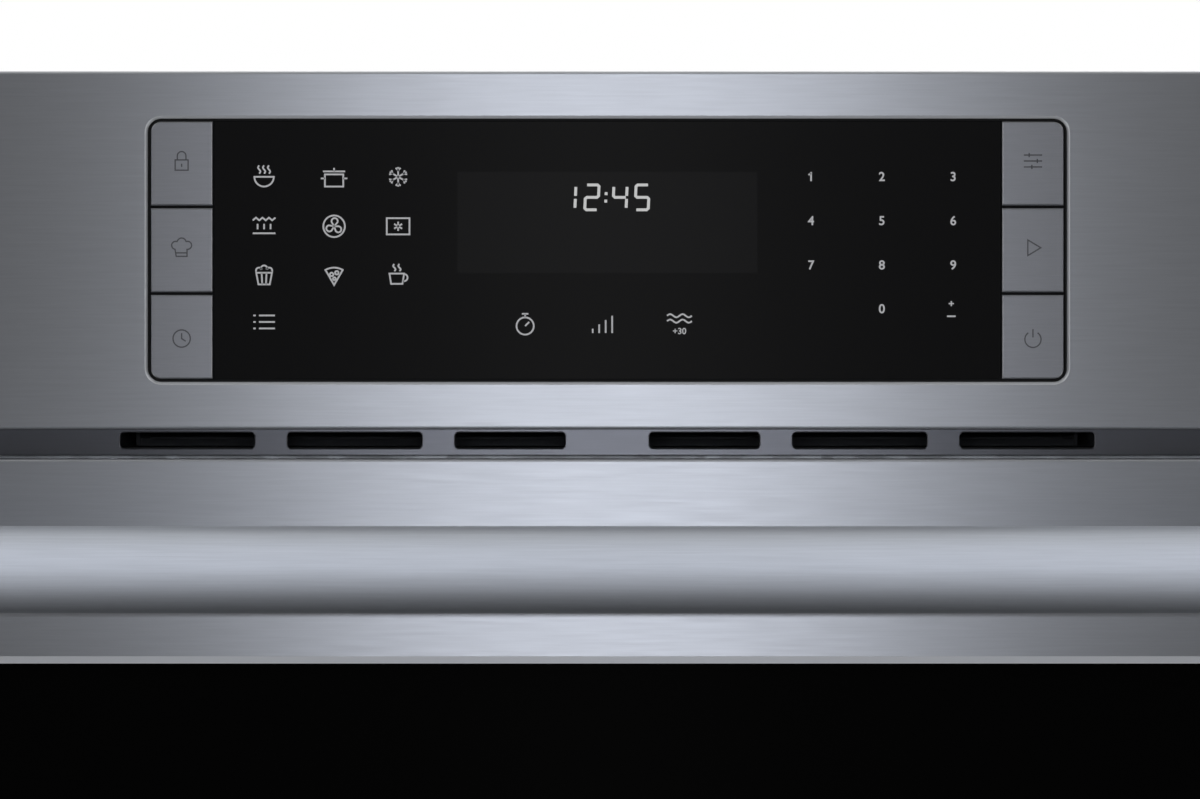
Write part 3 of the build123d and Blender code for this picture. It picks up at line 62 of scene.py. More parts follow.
# Camera
# A long lens looks straight at the fascia, from a little below the lower keys. One pixel of the photograph,
# which is 1200 wide, is 0.37 mm on the front faces. The front goes on past the photograph on both sides.
photo_width_px = 1200
pixel_mm = 0.37
view_centre_x = -2.7 * millimetre
view_centre_z = 362.5 * millimetre
face_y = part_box("control_fascia")[0].y
lens_mm = 200.0
sensor_mm = 36.0
view_width = photo_width_px * pixel_mm * millimetre
camera_distance = view_width * lens_mm / sensor_mm

camera_data = bpy.data.cameras.new("camera")
camera_data.lens = lens_mm
camera_data.sensor_width = sensor_mm
camera_data.clip_start = 0.1
camera_data.clip_end = 60.0
camera = bpy.data.objects.new("camera", camera_data)
camera.location = (view_centre_x, face_y - camera_distance, view_centre_z)
camera.rotation_euler = (math.radians(90), 0, 0)
scene.collection.objects.link(camera)
scene.camera = camera
scene.view_settings.view_transform = "Standard"

# Studio
# A pale floor and a low pale plinth under the case, so that the open door and its handle hang clear. A low,
# wide lamp in front gives the flat steel its bright middle, and soft boxes light the rest.
floor_z = -0.11
floor_half = 15.0
floor_thickness = 0.01
plinth_front = -0.19
plinth_back = 0.34
plinth_half = 0.34


def srgb(code):
    """A colour in sRGB hex, as seen on the real finish, turned to linear."""
    parts = [int(code[i:i + 2], 16) / 255 for i in (1, 3, 5)]
    return [c / 12.92 if c <= 0.04045 else ((c + 0.055) / 1.055) ** 2.4 for c in parts] + [1.0]


def add_node(tree, kind, inputs=None, **settings):
    node = tree.nodes.new(kind)
    for name, value in settings.items():
        setattr(node, name, value)
    for socket, value in (inputs or {}).items():
        if isinstance(value, bpy.types.NodeSocket):
            tree.links.new(value, node.inputs[socket])
        else:
            node.inputs[socket].default_value = value
    return node


def start_material(name, **constants):
    """A material with these numbers and colours on its shader, and the place on the piece to draw by."""
    material = bpy.data.materials.new(name)
    material.use_nodes = True
    tree = material.node_tree
    shader = tree.nodes["Principled BSDF"]
    for socket, value in constants.items():
        shader.inputs[socket.replace("_", " ")].default_value = value
    place = add_node(tree, "ShaderNodeTexCoord").outputs["Object"]
    return material, tree, shader, place


def stage_box(name, low, high, material):
    mesh = bpy.data.meshes.new(name)
    block = bmesh.new()
    bmesh.ops.create_cube(block, size=1.0)
    size = Vector(high) - Vector(low)
    bmesh.ops.scale(block, vec=size, verts=block.verts)
    bmesh.ops.translate(block, vec=(Vector(low) + Vector(high)) / 2, verts=block.verts)
    block.to_mesh(mesh)
    block.free()
    mesh.materials.append(material)
    piece = bpy.data.objects.new(name, mesh)
    scene.collection.objects.link(piece)
    piece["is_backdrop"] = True
    return piece


# The floor and the plinth are matt paper. The floor fades to white further out for the camera, the steel and
# the glass.
papers = []
for name, fade_from, fade_to in (("floor_paper", 1.0, 4.0), ("plinth_paper", 8.0, 9.0)):
    paper, tree, shader, place = start_material(name, Roughness=0.9, Base_Color=srgb("#dcdcdc"))
    rays = add_node(tree, "ShaderNodeLightPath").outputs
    matt = add_node(tree, "ShaderNodeMath", {0: rays["Is Diffuse Ray"], 1: rays["Is Shadow Ray"]},
                    operation="MAXIMUM").outputs[0]
    seen = add_node(tree, "ShaderNodeMath", {0: 1.0, 1: matt}, operation="SUBTRACT").outputs[0]
    distance = add_node(tree, "ShaderNodeVectorMath", {0: place}, operation="LENGTH").outputs["Value"]
    fade = add_node(tree, "ShaderNodeMapRange",
                    {"Value": distance, "From Min": fade_from, "From Max": fade_to})
    share = add_node(tree, "ShaderNodeMath", {0: fade.outputs[0], 1: seen}, operation="MULTIPLY").outputs[0]
    white = add_node(tree, "ShaderNodeEmission", {"Color": srgb("#ffffff"), "Strength": 1.0})
    mix = add_node(tree, "ShaderNodeMixShader", {0: share, 1: shader.outputs[0], 2: white.outputs[0]})
    tree.links.new(mix.outputs[0], tree.nodes["Material Output"].inputs["Surface"])
    papers.append(paper)
stage_box("stage_floor", (-floor_half, -floor_half, floor_z - floor_thickness),
          (floor_half, floor_half, floor_z), papers[0])
stage_box("stage_plinth", (-plinth_half, plinth_front, floor_z), (plinth_half, plinth_back, 0.0), papers[1])


def add_lamp(name, location, target, width, height, power, colour):
    data = bpy.data.lights.new(name, "AREA")
    data.shape = "RECTANGLE"
    data.size = width
    data.size_y = height
    data.energy = power
    data.color = srgb(colour)[:3]
    lamp = bpy.data.objects.new(name, data)
    lamp.location = location
    lamp.rotation_mode = "QUATERNION"
    lamp.rotation_quaternion = (Vector(target) - Vector(location)).to_track_quat("-Z", "Y")
    lamp.visible_camera = False
    scene.collection.objects.link(lamp)
    return lamp


# Each lamp has its place, its target, its width and height in metres, its watts and its colour. The flash is
# just over the camera. It gives the flat steel its bright middle with no shadow under the bar.
flash = add_lamp("flash_lamp", (0, -2.75, 0.41), (0, face_y, 0.36), 0.37, 0.08, 3.95, "#f1f5ff")
top = add_lamp("top_box", (0, -1.2, 2.4), (0, -0.2, 0.3), 3.0, 1.0, 3.0, "#ffffff")
add_lamp("left_box", (-3.0, 0.9, 1.5), (0, 0.1, 0.25), 1.6, 1.6, 34.0, "#ffffff")
add_lamp("right_box", (3.0, 0.9, 1.5), (0, 0.1, 0.25), 1.6, 1.6, 34.0, "#ffffff")
add_lamp("back_box", (0.6, 3.2, 1.8), (0, 0.2, 0.25), 2.0, 1.6, 40.0, "#ffffff")

# The flash is flagged off from the panes, so that they mirror nothing of it. The bar and its feet get two
# long soft boxes of their own, from above and from below, and nothing of the box over the oven.
panes = bpy.data.collections.new("panes")
not_bar = bpy.data.collections.new("all_but_bar")
bar_only = bpy.data.collections.new("bar_and_feet")
for name in ("control_glass", "door_glass"):
    panes.objects.link(nodes[name])
for name in ("handle_bar", "handle_posts"):
    bar_only.objects.link(nodes[name])
    not_bar.objects.link(nodes[name])
flash.light_linking.receiver_collection = panes
top.light_linking.receiver_collection = not_bar
for flagged in (panes, not_bar):
    for member in flagged.collection_objects:
        member.light_linking.link_state = "EXCLUDE"
bar_low, bar_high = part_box("handle_bar")
bar_axis = (bar_low + bar_high) / 2
bar_lamp_width = 3.0
for name, rise, distance, height, power in (("bar_box", 40, 0.9, 1.3, 8.2), ("bar_fill", -42, 0.5, 0.5, 1.9)):
    angle = math.radians(rise)
    spot = bar_axis + Vector((0, -distance * math.cos(angle), distance * math.sin(angle)))
    lamp = add_lamp(name, spot, bar_axis, bar_lamp_width, height, power, "#f2f5ff")
    lamp.light_linking.receiver_collection = bar_only

# A tall grey card behind the camera, a grey canopy over it and a dark cloth on the floor keep the flat steel
# and the panes dim at their ends, as in the photograph. The camera doesn't see them. The card is a little
# brighter up its middle.
card_face = -3.6
card_top = 5.0
card_half = 2.2
card_thickness = 0.02
card_grey = 0.015
card_bell = 0.15
card_bell_half = 0.16
canopy_z = 2.6
canopy_front = -0.3
canopy_grey = 0.25
cloth_front = -0.2
cloth_half = 0.7
cloth_thickness = 0.001


def glowing_paint(name):
    """A paint that only glows, for what the steel mirrors, and the socket that says how much."""
    paint = bpy.data.materials.new(name)
    paint.use_nodes = True
    tree = paint.node_tree
    tree.nodes.clear()
    glow = add_node(tree, "ShaderNodeEmission")
    add_node(tree, "ShaderNodeOutputMaterial", {"Surface": glow.outputs[0]})
    return paint, tree, glow.inputs["Strength"]


card_paint, tree, strength = glowing_paint("grey_card")
place = add_node(tree, "ShaderNodeTexCoord").outputs["Object"]
across = add_node(tree, "ShaderNodeSeparateXYZ", {0: place}).outputs["X"]
ratio = add_node(tree, "ShaderNodeMath", {0: across, 1: card_bell_half}, operation="DIVIDE").outputs[0]
square = add_node(tree, "ShaderNodeMath", {0: ratio, 1: ratio}, operation="MULTIPLY").outputs[0]
spread = add_node(tree, "ShaderNodeMath", {0: square, 1: 1.0}, operation="ADD").outputs[0]
bell = add_node(tree, "ShaderNodeMath", {0: card_bell, 1: spread}, operation="DIVIDE").outputs[0]
shine = add_node(tree, "ShaderNodeMath", {0: bell, 1: card_grey}, operation="ADD").outputs[0]
tree.links.new(shine, strength)
canopy_paint, tree, strength = glowing_paint("grey_canopy")
strength.default_value = canopy_grey
cloth_paint = start_material("dark_cloth", Roughness=1.0, Base_Color=srgb("#6e6e6e"))[0]
grey_card = stage_box("stage_card", (-card_half, card_face - card_thickness, floor_z),
                      (card_half, card_face, card_top), card_paint)
canopy = stage_box("stage_canopy", (-card_half, card_face, canopy_z),
                   (card_half, canopy_front, canopy_z + card_thickness), canopy_paint)
dark_cloth = stage_box("stage_cloth", (-cloth_half, card_face, floor_z),
                       (cloth_half, cloth_front, floor_z + cloth_thickness), cloth_paint)
for flag in (grey_card, canopy, dark_cloth):
    flag.visible_camera = False
    flag.visible_transmission = False
    flag.visible_shadow = False
    flag.visible_diffuse = False

# The room lights the matt surfaces as an even soft grey, and is white to the camera, the steel and the glass
world = bpy.data.worlds.new("studio")
world.use_nodes = True
scene.world = world
tree = world.node_tree
room_grey = 0.55
rays = add_node(tree, "ShaderNodeLightPath").outputs
strength = add_node(tree, "ShaderNodeMix", {"Factor": rays["Is Diffuse Ray"], "A": 1.0, "B": room_grey})
tree.links.new(strength.outputs[0], tree.nodes["Background"].inputs["Strength"])
tree.nodes["Background"].inputs["Color"].default_value = srgb("#ffffff")


# Control fascia
# A 1.2 mm sheet of austenitic stainless steel, brushed along its length and folded back on four sides, with a
# pressed and bevelled opening for the controls. The brushing draws each reflection out upwards and downwards.
def inside_box(tree, place, low, high, softness):
    """A mask that is 1 inside a box in metres, with an edge as soft as the given millimetres."""
    centre = (Vector(low) + Vector(high)) / 2
    half = (Vector(high) - Vector(low)) / 2
    offset = add_node(tree, "ShaderNodeVectorMath", {0: place, 1: centre}, operation="SUBTRACT").outputs[0]
    reach = add_node(tree, "ShaderNodeVectorMath", {0: offset}, operation="ABSOLUTE").outputs[0]
    excess = add_node(tree, "ShaderNodeVectorMath", {0: reach, 1: half}, operation="SUBTRACT").outputs[0]
    parts = add_node(tree, "ShaderNodeSeparateXYZ", {0: excess}).outputs
    worst = add_node(tree, "ShaderNodeMath", {0: parts["X"], 1: parts["Y"]}, operation="MAXIMUM").outputs[0]
    worst = add_node(tree, "ShaderNodeMath", {0: worst, 1: parts["Z"]}, operation="MAXIMUM").outputs[0]
    edge = softness * millimetre
    mask = add_node(tree, "ShaderNodeMapRange", {"Value": worst, "From Min": edge, "From Max": -edge})
    return mask.outputs[0]


def overlay(tree, shader, mask, **finish):
    """Lays another finish, socket by socket, over the one that the shader has where the mask is 1."""
    for name, value in finish.items():
        target = shader.inputs[name.replace("_", " ")]
        coloured = name == "Base_Color"
        mix = add_node(tree, "ShaderNodeMix", {0: mask}, data_type="RGBA" if coloured else "FLOAT")
        under, over, result = (6, 7, 2) if coloured else (2, 3, 0)
        if target.is_linked:
            tree.links.new(target.links[0].from_socket, mix.inputs[under])
        else:
            mix.inputs[under].default_value = target.default_value
        if isinstance(value, bpy.types.NodeSocket):
            tree.links.new(value, mix.inputs[over])
        else:
            mix.inputs[over].default_value = srgb(value) if coloured else value
        tree.links.new(mix.outputs[result], target)


def dress(material, *names):
    """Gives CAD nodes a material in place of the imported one."""
    for name in names:
        slots = nodes[name].data.materials
        slots.clear()
        slots.append(material)


# The brushing runs a hair off the X axis, so that the folded ends, which face along X, have a direction too
grain_tilt = 0.02
# What the sum of the two streak patterns runs between
streak_low = 0.45
streak_high = 1.05
scratch_depth = 0.004


def brushed_steel(name, colour, roughness, anisotropy, streak_length, streak_height, contrast):
    """Steel brushed along X. Streaks are drawn coarser than the real 0.1 mm grit lines, so that they show."""
    material, tree, shader, place = start_material(name, Metallic=1.0, Anisotropic=anisotropy,
                                                   Anisotropic_Rotation=0.25)
    grain = add_node(tree, "ShaderNodeCombineXYZ", {"X": 1.0, "Y": grain_tilt})
    tree.links.new(grain.outputs[0], shader.inputs["Tangent"])
    along = 1 / (streak_length * millimetre)
    across = 1 / (streak_height * millimetre)
    patterns = []
    for stretch, detail, harshness in (((along, across, across), 2.0, 0.55),
                                       ((along * 0.8, across * 3.1, across * 3.1), 1.0, 0.5)):
        spot = add_node(tree, "ShaderNodeMapping", {"Vector": place, "Scale": stretch}).outputs[0]
        noise = add_node(tree, "ShaderNodeTexNoise",
                         {"Vector": spot, "Scale": 1.0, "Detail": detail, "Roughness": harshness})
        patterns.append(noise.outputs[0])
    soft, fine = patterns
    both = add_node(tree, "ShaderNodeMath", {0: fine, 1: 0.5, 2: soft}, operation="MULTIPLY_ADD").outputs[0]
    shade, gloss = [add_node(tree, "ShaderNodeMapRange", {"Value": both, "From Min": streak_low,
                                                          "From Max": streak_high, "To Min": start,
                                                          "To Max": end})
                    for start, end in ((1 - contrast, 1 + contrast), (roughness * 1.04, roughness * 0.96))]
    tint = add_node(tree, "ShaderNodeMix", {0: 1.0, 6: srgb(colour), 7: shade.outputs[0]}, data_type="RGBA",
                    blend_type="MULTIPLY")
    tree.links.new(tint.outputs[2], shader.inputs["Base Color"])
    tree.links.new(gloss.outputs[0], shader.inputs["Roughness"])
    bump = add_node(tree, "ShaderNodeBump",
                    {"Height": fine, "Strength": 0.15, "Distance": scratch_depth * millimetre})
    tree.links.new(bump.outputs[0], shader.inputs["Normal"])
    return material


front_steel = brushed_steel("brushed_stainless_front", "#cdcfd3", 0.335, 0.93, 26.0, 1.1, 0.045)
# The slopes that are drawn in round the openings are bead blasted, and so catch light from all sides. The
# outer folds keep the brushing.
outer_fold = 5.0 * millimetre
tree = front_steel.node_tree
shader = tree.nodes["Principled BSDF"]
coordinates = add_node(tree, "ShaderNodeTexCoord").outputs
frontal = add_node(tree, "ShaderNodeSeparateXYZ", {0: coordinates["Normal"]}).outputs["Y"]
tilted = add_node(tree, "ShaderNodeMapRange", {"Value": frontal, "From Min": -0.999, "From Max": -0.985})
forward = add_node(tree, "ShaderNodeMapRange", {"Value": frontal, "From Min": -0.5, "From Max": -0.65})
drawn = add_node(tree, "ShaderNodeMath", {0: tilted.outputs[0], 1: forward.outputs[0]},
                 operation="MULTIPLY").outputs[0]
for name in ("control_fascia", "door_skin"):
    low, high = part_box(name)
    field = inside_box(tree, coordinates["Object"], (low.x + outer_fold, -1, low.z + outer_fold),
                       (high.x - outer_fold, 1, high.z - outer_fold), 0.5)
    slope = add_node(tree, "ShaderNodeMath", {0: drawn, 1: field}, operation="MULTIPLY").outputs[0]
    overlay(tree, shader, slope, Base_Color="#dfe1e5", Metallic=0.5, Roughness=0.45)
dress(front_steel, "control_fascia")

# Door skin
# The same brushed sheet as the fascia, folded back on four sides, with a sloped rim round the window.
dress(front_steel, "door_skin")

# Bar handle
# A 31.5 mm round tube of the same steel with closed ends, brushed along its length. It is polished less
# finely than the sheet, so it shows the light above as one even band. Cast and blasted feet carry it.
bar_steel = brushed_steel("brushed_stainless_bar", "#c8ccd2", 0.55, 0.0, 30.0, 1.0, 0.045)
dress(bar_steel, "handle_bar")
grit_size = 1.2
grit_depth = 0.03
foot_steel, tree, shader, place = start_material("satin_cast_steel", Metallic=1.0, Roughness=0.42,
                                                 Base_Color=srgb("#b5b7bb"))
grit = add_node(tree, "ShaderNodeTexNoise",
                {"Vector": place, "Scale": 1 / (grit_size * millimetre), "Detail": 2.0})
bump = add_node(tree, "ShaderNodeBump",
                {"Height": grit.outputs[0], "Strength": 0.2, "Distance": grit_depth * millimetre})
tree.links.new(bump.outputs[0], shader.inputs["Normal"])
dress(foot_steel, "handle_posts")


# Touch glass
# One flush pane of 3 mm glass, printed black on its back except over the display, where the print is a smoked
# tint and so looks a little lighter.
def finish_part(tree, shader, place, low, high, softness, **finish):
    """Lays another finish over what lies inside a box in metres."""
    overlay(tree, shader, inside_box(tree, place, low, high, softness), **finish)


display_low, display_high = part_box("display_module")
glass_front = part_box("control_glass")[0].y
touch_glass, tree, shader, place = start_material("black_printed_glass", Roughness=0.09, IOR=1.5,
                                                  Base_Color=srgb("#131314"))
finish_part(tree, shader, place, (display_low.x, -1, display_low.z), (display_high.x, 1, display_high.z),
            0.25, Base_Color="#1c1c1d")
dress(touch_glass, "control_glass")

# Printed signs on the touch glass
# Pale grey screen print on the face of the pane: plain cooking signs, a number pad, and a plus and minus.
# Each stroke is a flat ribbon of ink a few hundredths of a millimetre thick.
ink_thickness = 0.04
sign_stroke = 0.62


def plain_finish(name, dark, light, grain, sleek, rough, relief=0.0, **constants):
    """A finish that varies over a grain in mm, in its colour from dark to light and in its roughness."""
    material, tree, shader, place = start_material(name, **constants)
    noise = add_node(tree, "ShaderNodeTexNoise",
                     {"Vector": place, "Scale": 1 / (grain * millimetre), "Detail": 3.0}).outputs[0]
    tone = add_node(tree, "ShaderNodeMix", {0: noise, 6: srgb(dark), 7: srgb(light)}, data_type="RGBA")
    tree.links.new(tone.outputs[2], shader.inputs["Base Color"])
    gloss = add_node(tree, "ShaderNodeMapRange", {"Value": noise, "To Min": sleek, "To Max": rough})
    tree.links.new(gloss.outputs[0], shader.inputs["Roughness"])
    if relief:
        bump = add_node(tree, "ShaderNodeBump", {"Height": noise, "Distance": relief * millimetre})
        tree.links.new(bump.outputs[0], shader.inputs["Normal"])
    return material, tree, shader, place


def arc(x, z, radius, start, end, steps=14):
    turns = [math.radians(start + (end - start) * i / steps) for i in range(steps + 1)]
    return [(x + radius * math.cos(t), z + radius * math.sin(t)) for t in turns]


def wave(x, z, rise, reach=0.45, steps=8):
    return [(x + reach * math.sin(2 * math.pi * i / steps), z + rise * i / steps) for i in range(steps + 1)]


def turned(points, angle):
    c, s = math.cos(math.radians(angle)), math.sin(math.radians(angle))
    return [(c * x - s * z, s * x + c * z) for x, z in points]


def ink_stroke(target, points, width, middle, front):
    """A ribbon of ink along points in millimetres about middle. It closes on itself if they do."""
    closed = math.dist(points[0], points[-1]) < 1e-6
    path = [Vector(p) for p in (points[:-1] if closed else points)]
    count = len(path)
    rings = []
    for i, here in enumerate(path):
        before = path[i - 1] if closed or i else here
        after = path[(i + 1) % count] if closed or i < count - 1 else here
        into, out = (here - before).normalized(), (after - here).normalized()
        if before == here:
            into = out
        if after == here:
            out = into
        side = Vector((-into.y - out.y, into.x + out.x)).normalized()
        reach = width / 2 / max(0.5, side.dot(Vector((-into.y, into.x))))
        ring = []
        for depth in (0, ink_thickness):
            for edge in (here + side * reach, here - side * reach):
                corner = (middle[0] + edge.x * millimetre, front - (ink_thickness - depth) * millimetre,
                          middle[1] + edge.y * millimetre)
                ring.append(target.verts.new(corner))
        rings.append([ring[0], ring[1], ring[3], ring[2]])
    for i in range(count if closed else count - 1):
        near, far = rings[i], rings[(i + 1) % count]
        for k in range(4):
            target.faces.new((near[k], near[(k + 1) % 4], far[(k + 1) % 4], far[k]))
    if not closed:
        target.faces.new(rings[0])
        target.faces.new(reversed(rings[-1]))


def print_sign(target, strokes, width, middle, front):
    for points in strokes:
        ink_stroke(target, points, width, middle, front)


def make_piece(name, target, material, body, smooth=True):
    """Finishes a bmesh as a piece that rides on a body."""
    bmesh.ops.recalc_face_normals(target, faces=target.faces)
    mesh = bpy.data.meshes.new(name)
    target.to_mesh(mesh)
    target.free()
    mesh.materials.append(material)
    if smooth:
        mesh.shade_smooth()
        mesh.set_sharp_from_angle(angle=math.radians(35))
    piece = bpy.data.objects.new(name, mesh)
    scene.collection.objects.link(piece)
    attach(piece, body)
    return piece


flake_arm = [[(0, 0), (0, 3.6)], [(-0.9, 3.3), (0, 2.4), (0.9, 3.3)]]
small_flake = [turned([(0, -1.7), (0, 1.7)], 60 * i) for i in range(3)]
fan_blade = [(0, 0)] + arc(0.2, 1.9, 1.15, 200, -20, 8) + [(0, 0)]
signs = {
    "warm_bowl": [arc(0, 0, 3.6, 180, 360) + [(-3.6, 0)]] + [wave(x, 1.2, 3) for x in (-1.8, 0, 1.8)],
    "pot": [[(-3.4, -3.6), (3.4, -3.6), (3.4, 0.9), (-3.4, 0.9), (-3.4, -3.6)], [(-4.1, 2.0), (4.1, 2.0)],
            [(0, 2.0), (0, 3.3)], [(-3.4, -0.6), (-4.9, -0.6)], [(3.4, -0.6), (4.9, -0.6)]],
    "snowflake": [turned(part, 60 * i) for i in range(6) for part in flake_arm],
    "grill": [[(-4.2 + 1.2 * i, 2.2 + i % 2) for i in range(8)]]
             + [[(x, 0.9), (x, -1.1)] for x in (-2.4, 0, 2.4)] + [[(-4.2, -2.6), (4.2, -2.6)]],
    "fan": [turned(fan_blade, 120 * i) for i in range(3)] + [arc(0, 0, 4.0, 0, 360, 28)],
    "frozen_box": [[(-4.2, -3.0), (4.2, -3.0), (4.2, 3.0), (-4.2, 3.0), (-4.2, -3.0)]] + small_flake,
    "corn_bag": [[(-2.9, 0.9), (-2.1, -3.4), (2.1, -3.4), (2.9, 0.9), (-2.9, 0.9)],
                 [(-0.9, 0.9), (-0.7, -3.4)], [(0.9, 0.9), (0.7, -3.4)], arc(-1.9, 1.7, 1.1, 200, 20),
                 arc(0, 2.4, 1.2, 200, -20), arc(1.9, 1.7, 1.1, 160, -20)],
    "slice": [[(0, -3.6)] + arc(0, -3.6, 6.4, 120, 60, 8) + [(0, -3.6)], arc(-0.9, 0.3, 0.65, 0, 360, 10),
              arc(1.0, 0.9, 0.65, 0, 360, 10), arc(0.1, -1.3, 0.5, 0, 360, 10)],
    "cup": [[(-3.2, 0.6), (-2.6, -3.2), (1.6, -3.2), (2.2, 0.6), (-3.2, 0.6)],
            arc(2.2, -0.9, 1.3, 80, -110, 10), wave(-1.4, 1.5, 2.6), wave(0.5, 1.5, 2.6)],
    "list": [[(left, z), (right, z)] for left, right in ((-1.9, 4.0), (-4.0, -3.1)) for z in (2.4, 0, -2.4)],
    "stopwatch": [arc(0, -0.6, 3.2, 0, 360, 24), [(0, 2.6), (0, 3.8)], [(-1.2, 3.9), (1.2, 3.9)],
                  [(0, -0.6), (1.5, 0.9)]],
    "level_bars": [[(x, -3.2), (x, z)] for x, z in ((-3.6, -1.6), (-1.2, 0.0), (1.2, 1.6), (3.6, 3.2))],
    "ripples": [[(-4.6 + 0.575 * i, z + 0.6 * math.sin(i * math.pi / 4)) for i in range(17)]
                for z in (3.2, 1.2)],
    "minus": [[(-1.6, 0), (1.6, 0)]],
    "flag_of_one": [[(-0.95, 0.75), (0.05, 1.45)]],
}
# Where each sign sits, in millimetres from the middle of the pane and from the foot of the case
left_columns = (-127.0, -101.1, -77.4)
left_rows = (444.9, 426.6, 408.5, 391.2)
left_signs = (("warm_bowl", "pot", "snowflake"), ("grill", "fan", "frozen_box"),
              ("corn_bag", "slice", "cup"), ("list",))
lower_row = 390.3
lower_signs = (("stopwatch", -30.4), ("level_bars", -1.8), ("ripples", 26.7))

sign_ink = plain_finish("pale_screen_print", "#c4c4c6", "#d6d6d8", 0.8, 0.5, 0.6)[0]
sign_places = [(name, x, z) for z, row in zip(left_rows, left_signs) for x, name in zip(left_columns, row)]
sign_places += [(name, x, lower_row) for name, x in lower_signs]
cooking_signs = bmesh.new()
for name, x, z in sign_places:
    print_sign(cooking_signs, signs[name], sign_stroke, (x * millimetre, z * millimetre), glass_front)
make_piece("cooking_signs", cooking_signs, sign_ink, "root", smooth=False)


def write_digits(target, characters, size, boldness, x, z, front):
    """Adds plain figures in ink to a bmesh, centred on x and z."""
    letters = bpy.data.curves.new("figures", "FONT")
    letters.body = characters
    letters.size = size * millimetre
    letters.align_x = "CENTER"
    letters.align_y = "CENTER"
    letters.offset = boldness * millimetre
    letters.extrude = ink_thickness / 2 * millimetre
    holder = bpy.data.objects.new("figures", letters)
    mesh = bpy.data.meshes.new_from_object(holder)
    centre = (x * millimetre, front - ink_thickness / 2 * millimetre, z * millimetre)
    mesh.transform(Matrix.Translation(centre) @ Matrix.Rotation(math.radians(90), 4, "X"))
    target.from_mesh(mesh)
    bpy.data.objects.remove(holder)
    bpy.data.curves.remove(letters)
    bpy.data.meshes.remove(mesh)


# The plus and the minus stand over each other at the end of the pad's last row, and the 1 has a short flag
pad_columns = (75.4, 101.6, 128.0)
pad_rows = (444.8, 428.5, 412.1, 395.9)
plus_minus_x = pad_columns[2] - 0.7
plus_rise = 1.9
minus_drop = 2.6
added_time_drop = 2.6
# The size and the boldness of each kind of figure
pad_figure = (4.7, 0.09)
plus_figure = (3.6, 0.1)
added_time_figure = (3.2, 0.06)

number_pad = bmesh.new()
for i, digit in enumerate("123456789"):
    write_digits(number_pad, digit, *pad_figure, pad_columns[i % 3], pad_rows[i // 3], glass_front)
write_digits(number_pad, "0", *pad_figure, pad_columns[1], pad_rows[3], glass_front)
write_digits(number_pad, "+", *plus_figure, plus_minus_x, pad_rows[3] + plus_rise, glass_front)
write_digits(number_pad, "+30", *added_time_figure, lower_signs[2][1], lower_row - added_time_drop,
             glass_front)
for name, x, z in (("minus", plus_minus_x, pad_rows[3] - minus_drop),
                   ("flag_of_one", pad_columns[0], pad_rows[0])):
    print_sign(number_pad, signs[name], sign_stroke, (x * millimetre, z * millimetre), glass_front)
make_piece("number_pad", number_pad, sign_ink, "root", smooth=False)

# Clock figures
# Lit segments of the display behind the smoked print, drawn as figures with cut corners that lean a little.
# They shine through the pane, so they are drawn on its face.
segment_stroke = 1.05
clock_height = 9.2
clock_width = 4.9
clock_lean = 0.045
clock_middle_z = 437.3
clock_figures = (("1", -14.25), ("2", -5.7), (":", -0.5), ("4", 4.7), ("5", 12.9))


def clock_stroke(points):
    return [((x - 0.5) * clock_width + z * clock_height * clock_lean, z * clock_height) for x, z in points]


# Each figure is a unit wide, and a unit high about its middle. Its corners are cut by this share.
corner = 0.12
figure_strokes = {
    "1": [[(1.0, 0.42), (1.0, 0.06)], [(1.0, -0.06), (1.0, -0.42)]],
    "2": [[(0.1, 0.5), (1 - corner, 0.5), (1.0, 0.5 - corner / 2), (1.0, corner / 2), (1 - corner, 0.0),
           (corner, 0.0), (0.0, -corner / 2), (0.0, -0.5 + corner / 2), (corner, -0.5), (0.9, -0.5)]],
    "4": [[(0.0, 0.42), (0.0, corner / 2), (corner, 0.0), (0.94, 0.0)], [(1.0, 0.42), (1.0, 0.06)],
          [(1.0, -0.06), (1.0, -0.42)]],
    "5": [[(0.9, 0.5), (corner, 0.5), (0.0, 0.5 - corner / 2), (0.0, corner / 2), (corner, 0.0),
           (1 - corner, 0.0), (1.0, -corner / 2), (1.0, -0.5 + corner / 2), (1 - corner, -0.5), (0.1, -0.5)]],
    ":": [[(0.5, 0.21), (0.5, 0.09)], [(0.5, -0.09), (0.5, -0.21)]],
}
segment_glow = plain_finish("lit_segments", "#c2c2c2", "#d0d0ce", 1.5, 0.35, 0.45,
                            Emission_Color=srgb("#d8d8d6"), Emission_Strength=0.22)[0]
clock = bmesh.new()
for figure, x in clock_figures:
    strokes = [clock_stroke(points) for points in figure_strokes[figure]]
    print_sign(clock, strokes, segment_stroke, (x * millimetre, clock_middle_z * millimetre), glass_front)
make_piece("clock_figures", clock, segment_glow, "root", smooth=False)

# Door glass
# A 4 mm pane, printed black round its border and smoked over the window, so that the cavity stays hidden. Its
# coating mirrors less than bare glass, a little unevenly.
haze_size = 40
door_black, tree, shader, place = start_material("smoked_door_glass", Roughness=0.06, IOR=1.5,
                                                 Base_Color=srgb("#060606"), Specular_IOR_Level=0.07)
haze = add_node(tree, "ShaderNodeTexNoise",
                {"Vector": place, "Scale": 1 / (haze_size * millimetre), "Detail": 3.0})
gloss = add_node(tree, "ShaderNodeMapRange", {"Value": haze.outputs[0], "To Min": 0.04, "To Max": 0.08})
tree.links.new(gloss.outputs[0], shader.inputs["Roughness"])
dress(door_black, "door_glass")

# Steel keys
# Six caps pressed from the same brushed sheet, a shade darker, each on a moulded stem.
key_names = [f"key_{side}_{row}" for side in ("left", "right") for row in ("top", "middle", "bottom")]
key_steel = brushed_steel("brushed_stainless_key", "#b2b3b7", 0.36, 0.9, 14.0, 0.7, 0.05)
dress(key_steel, *key_names)

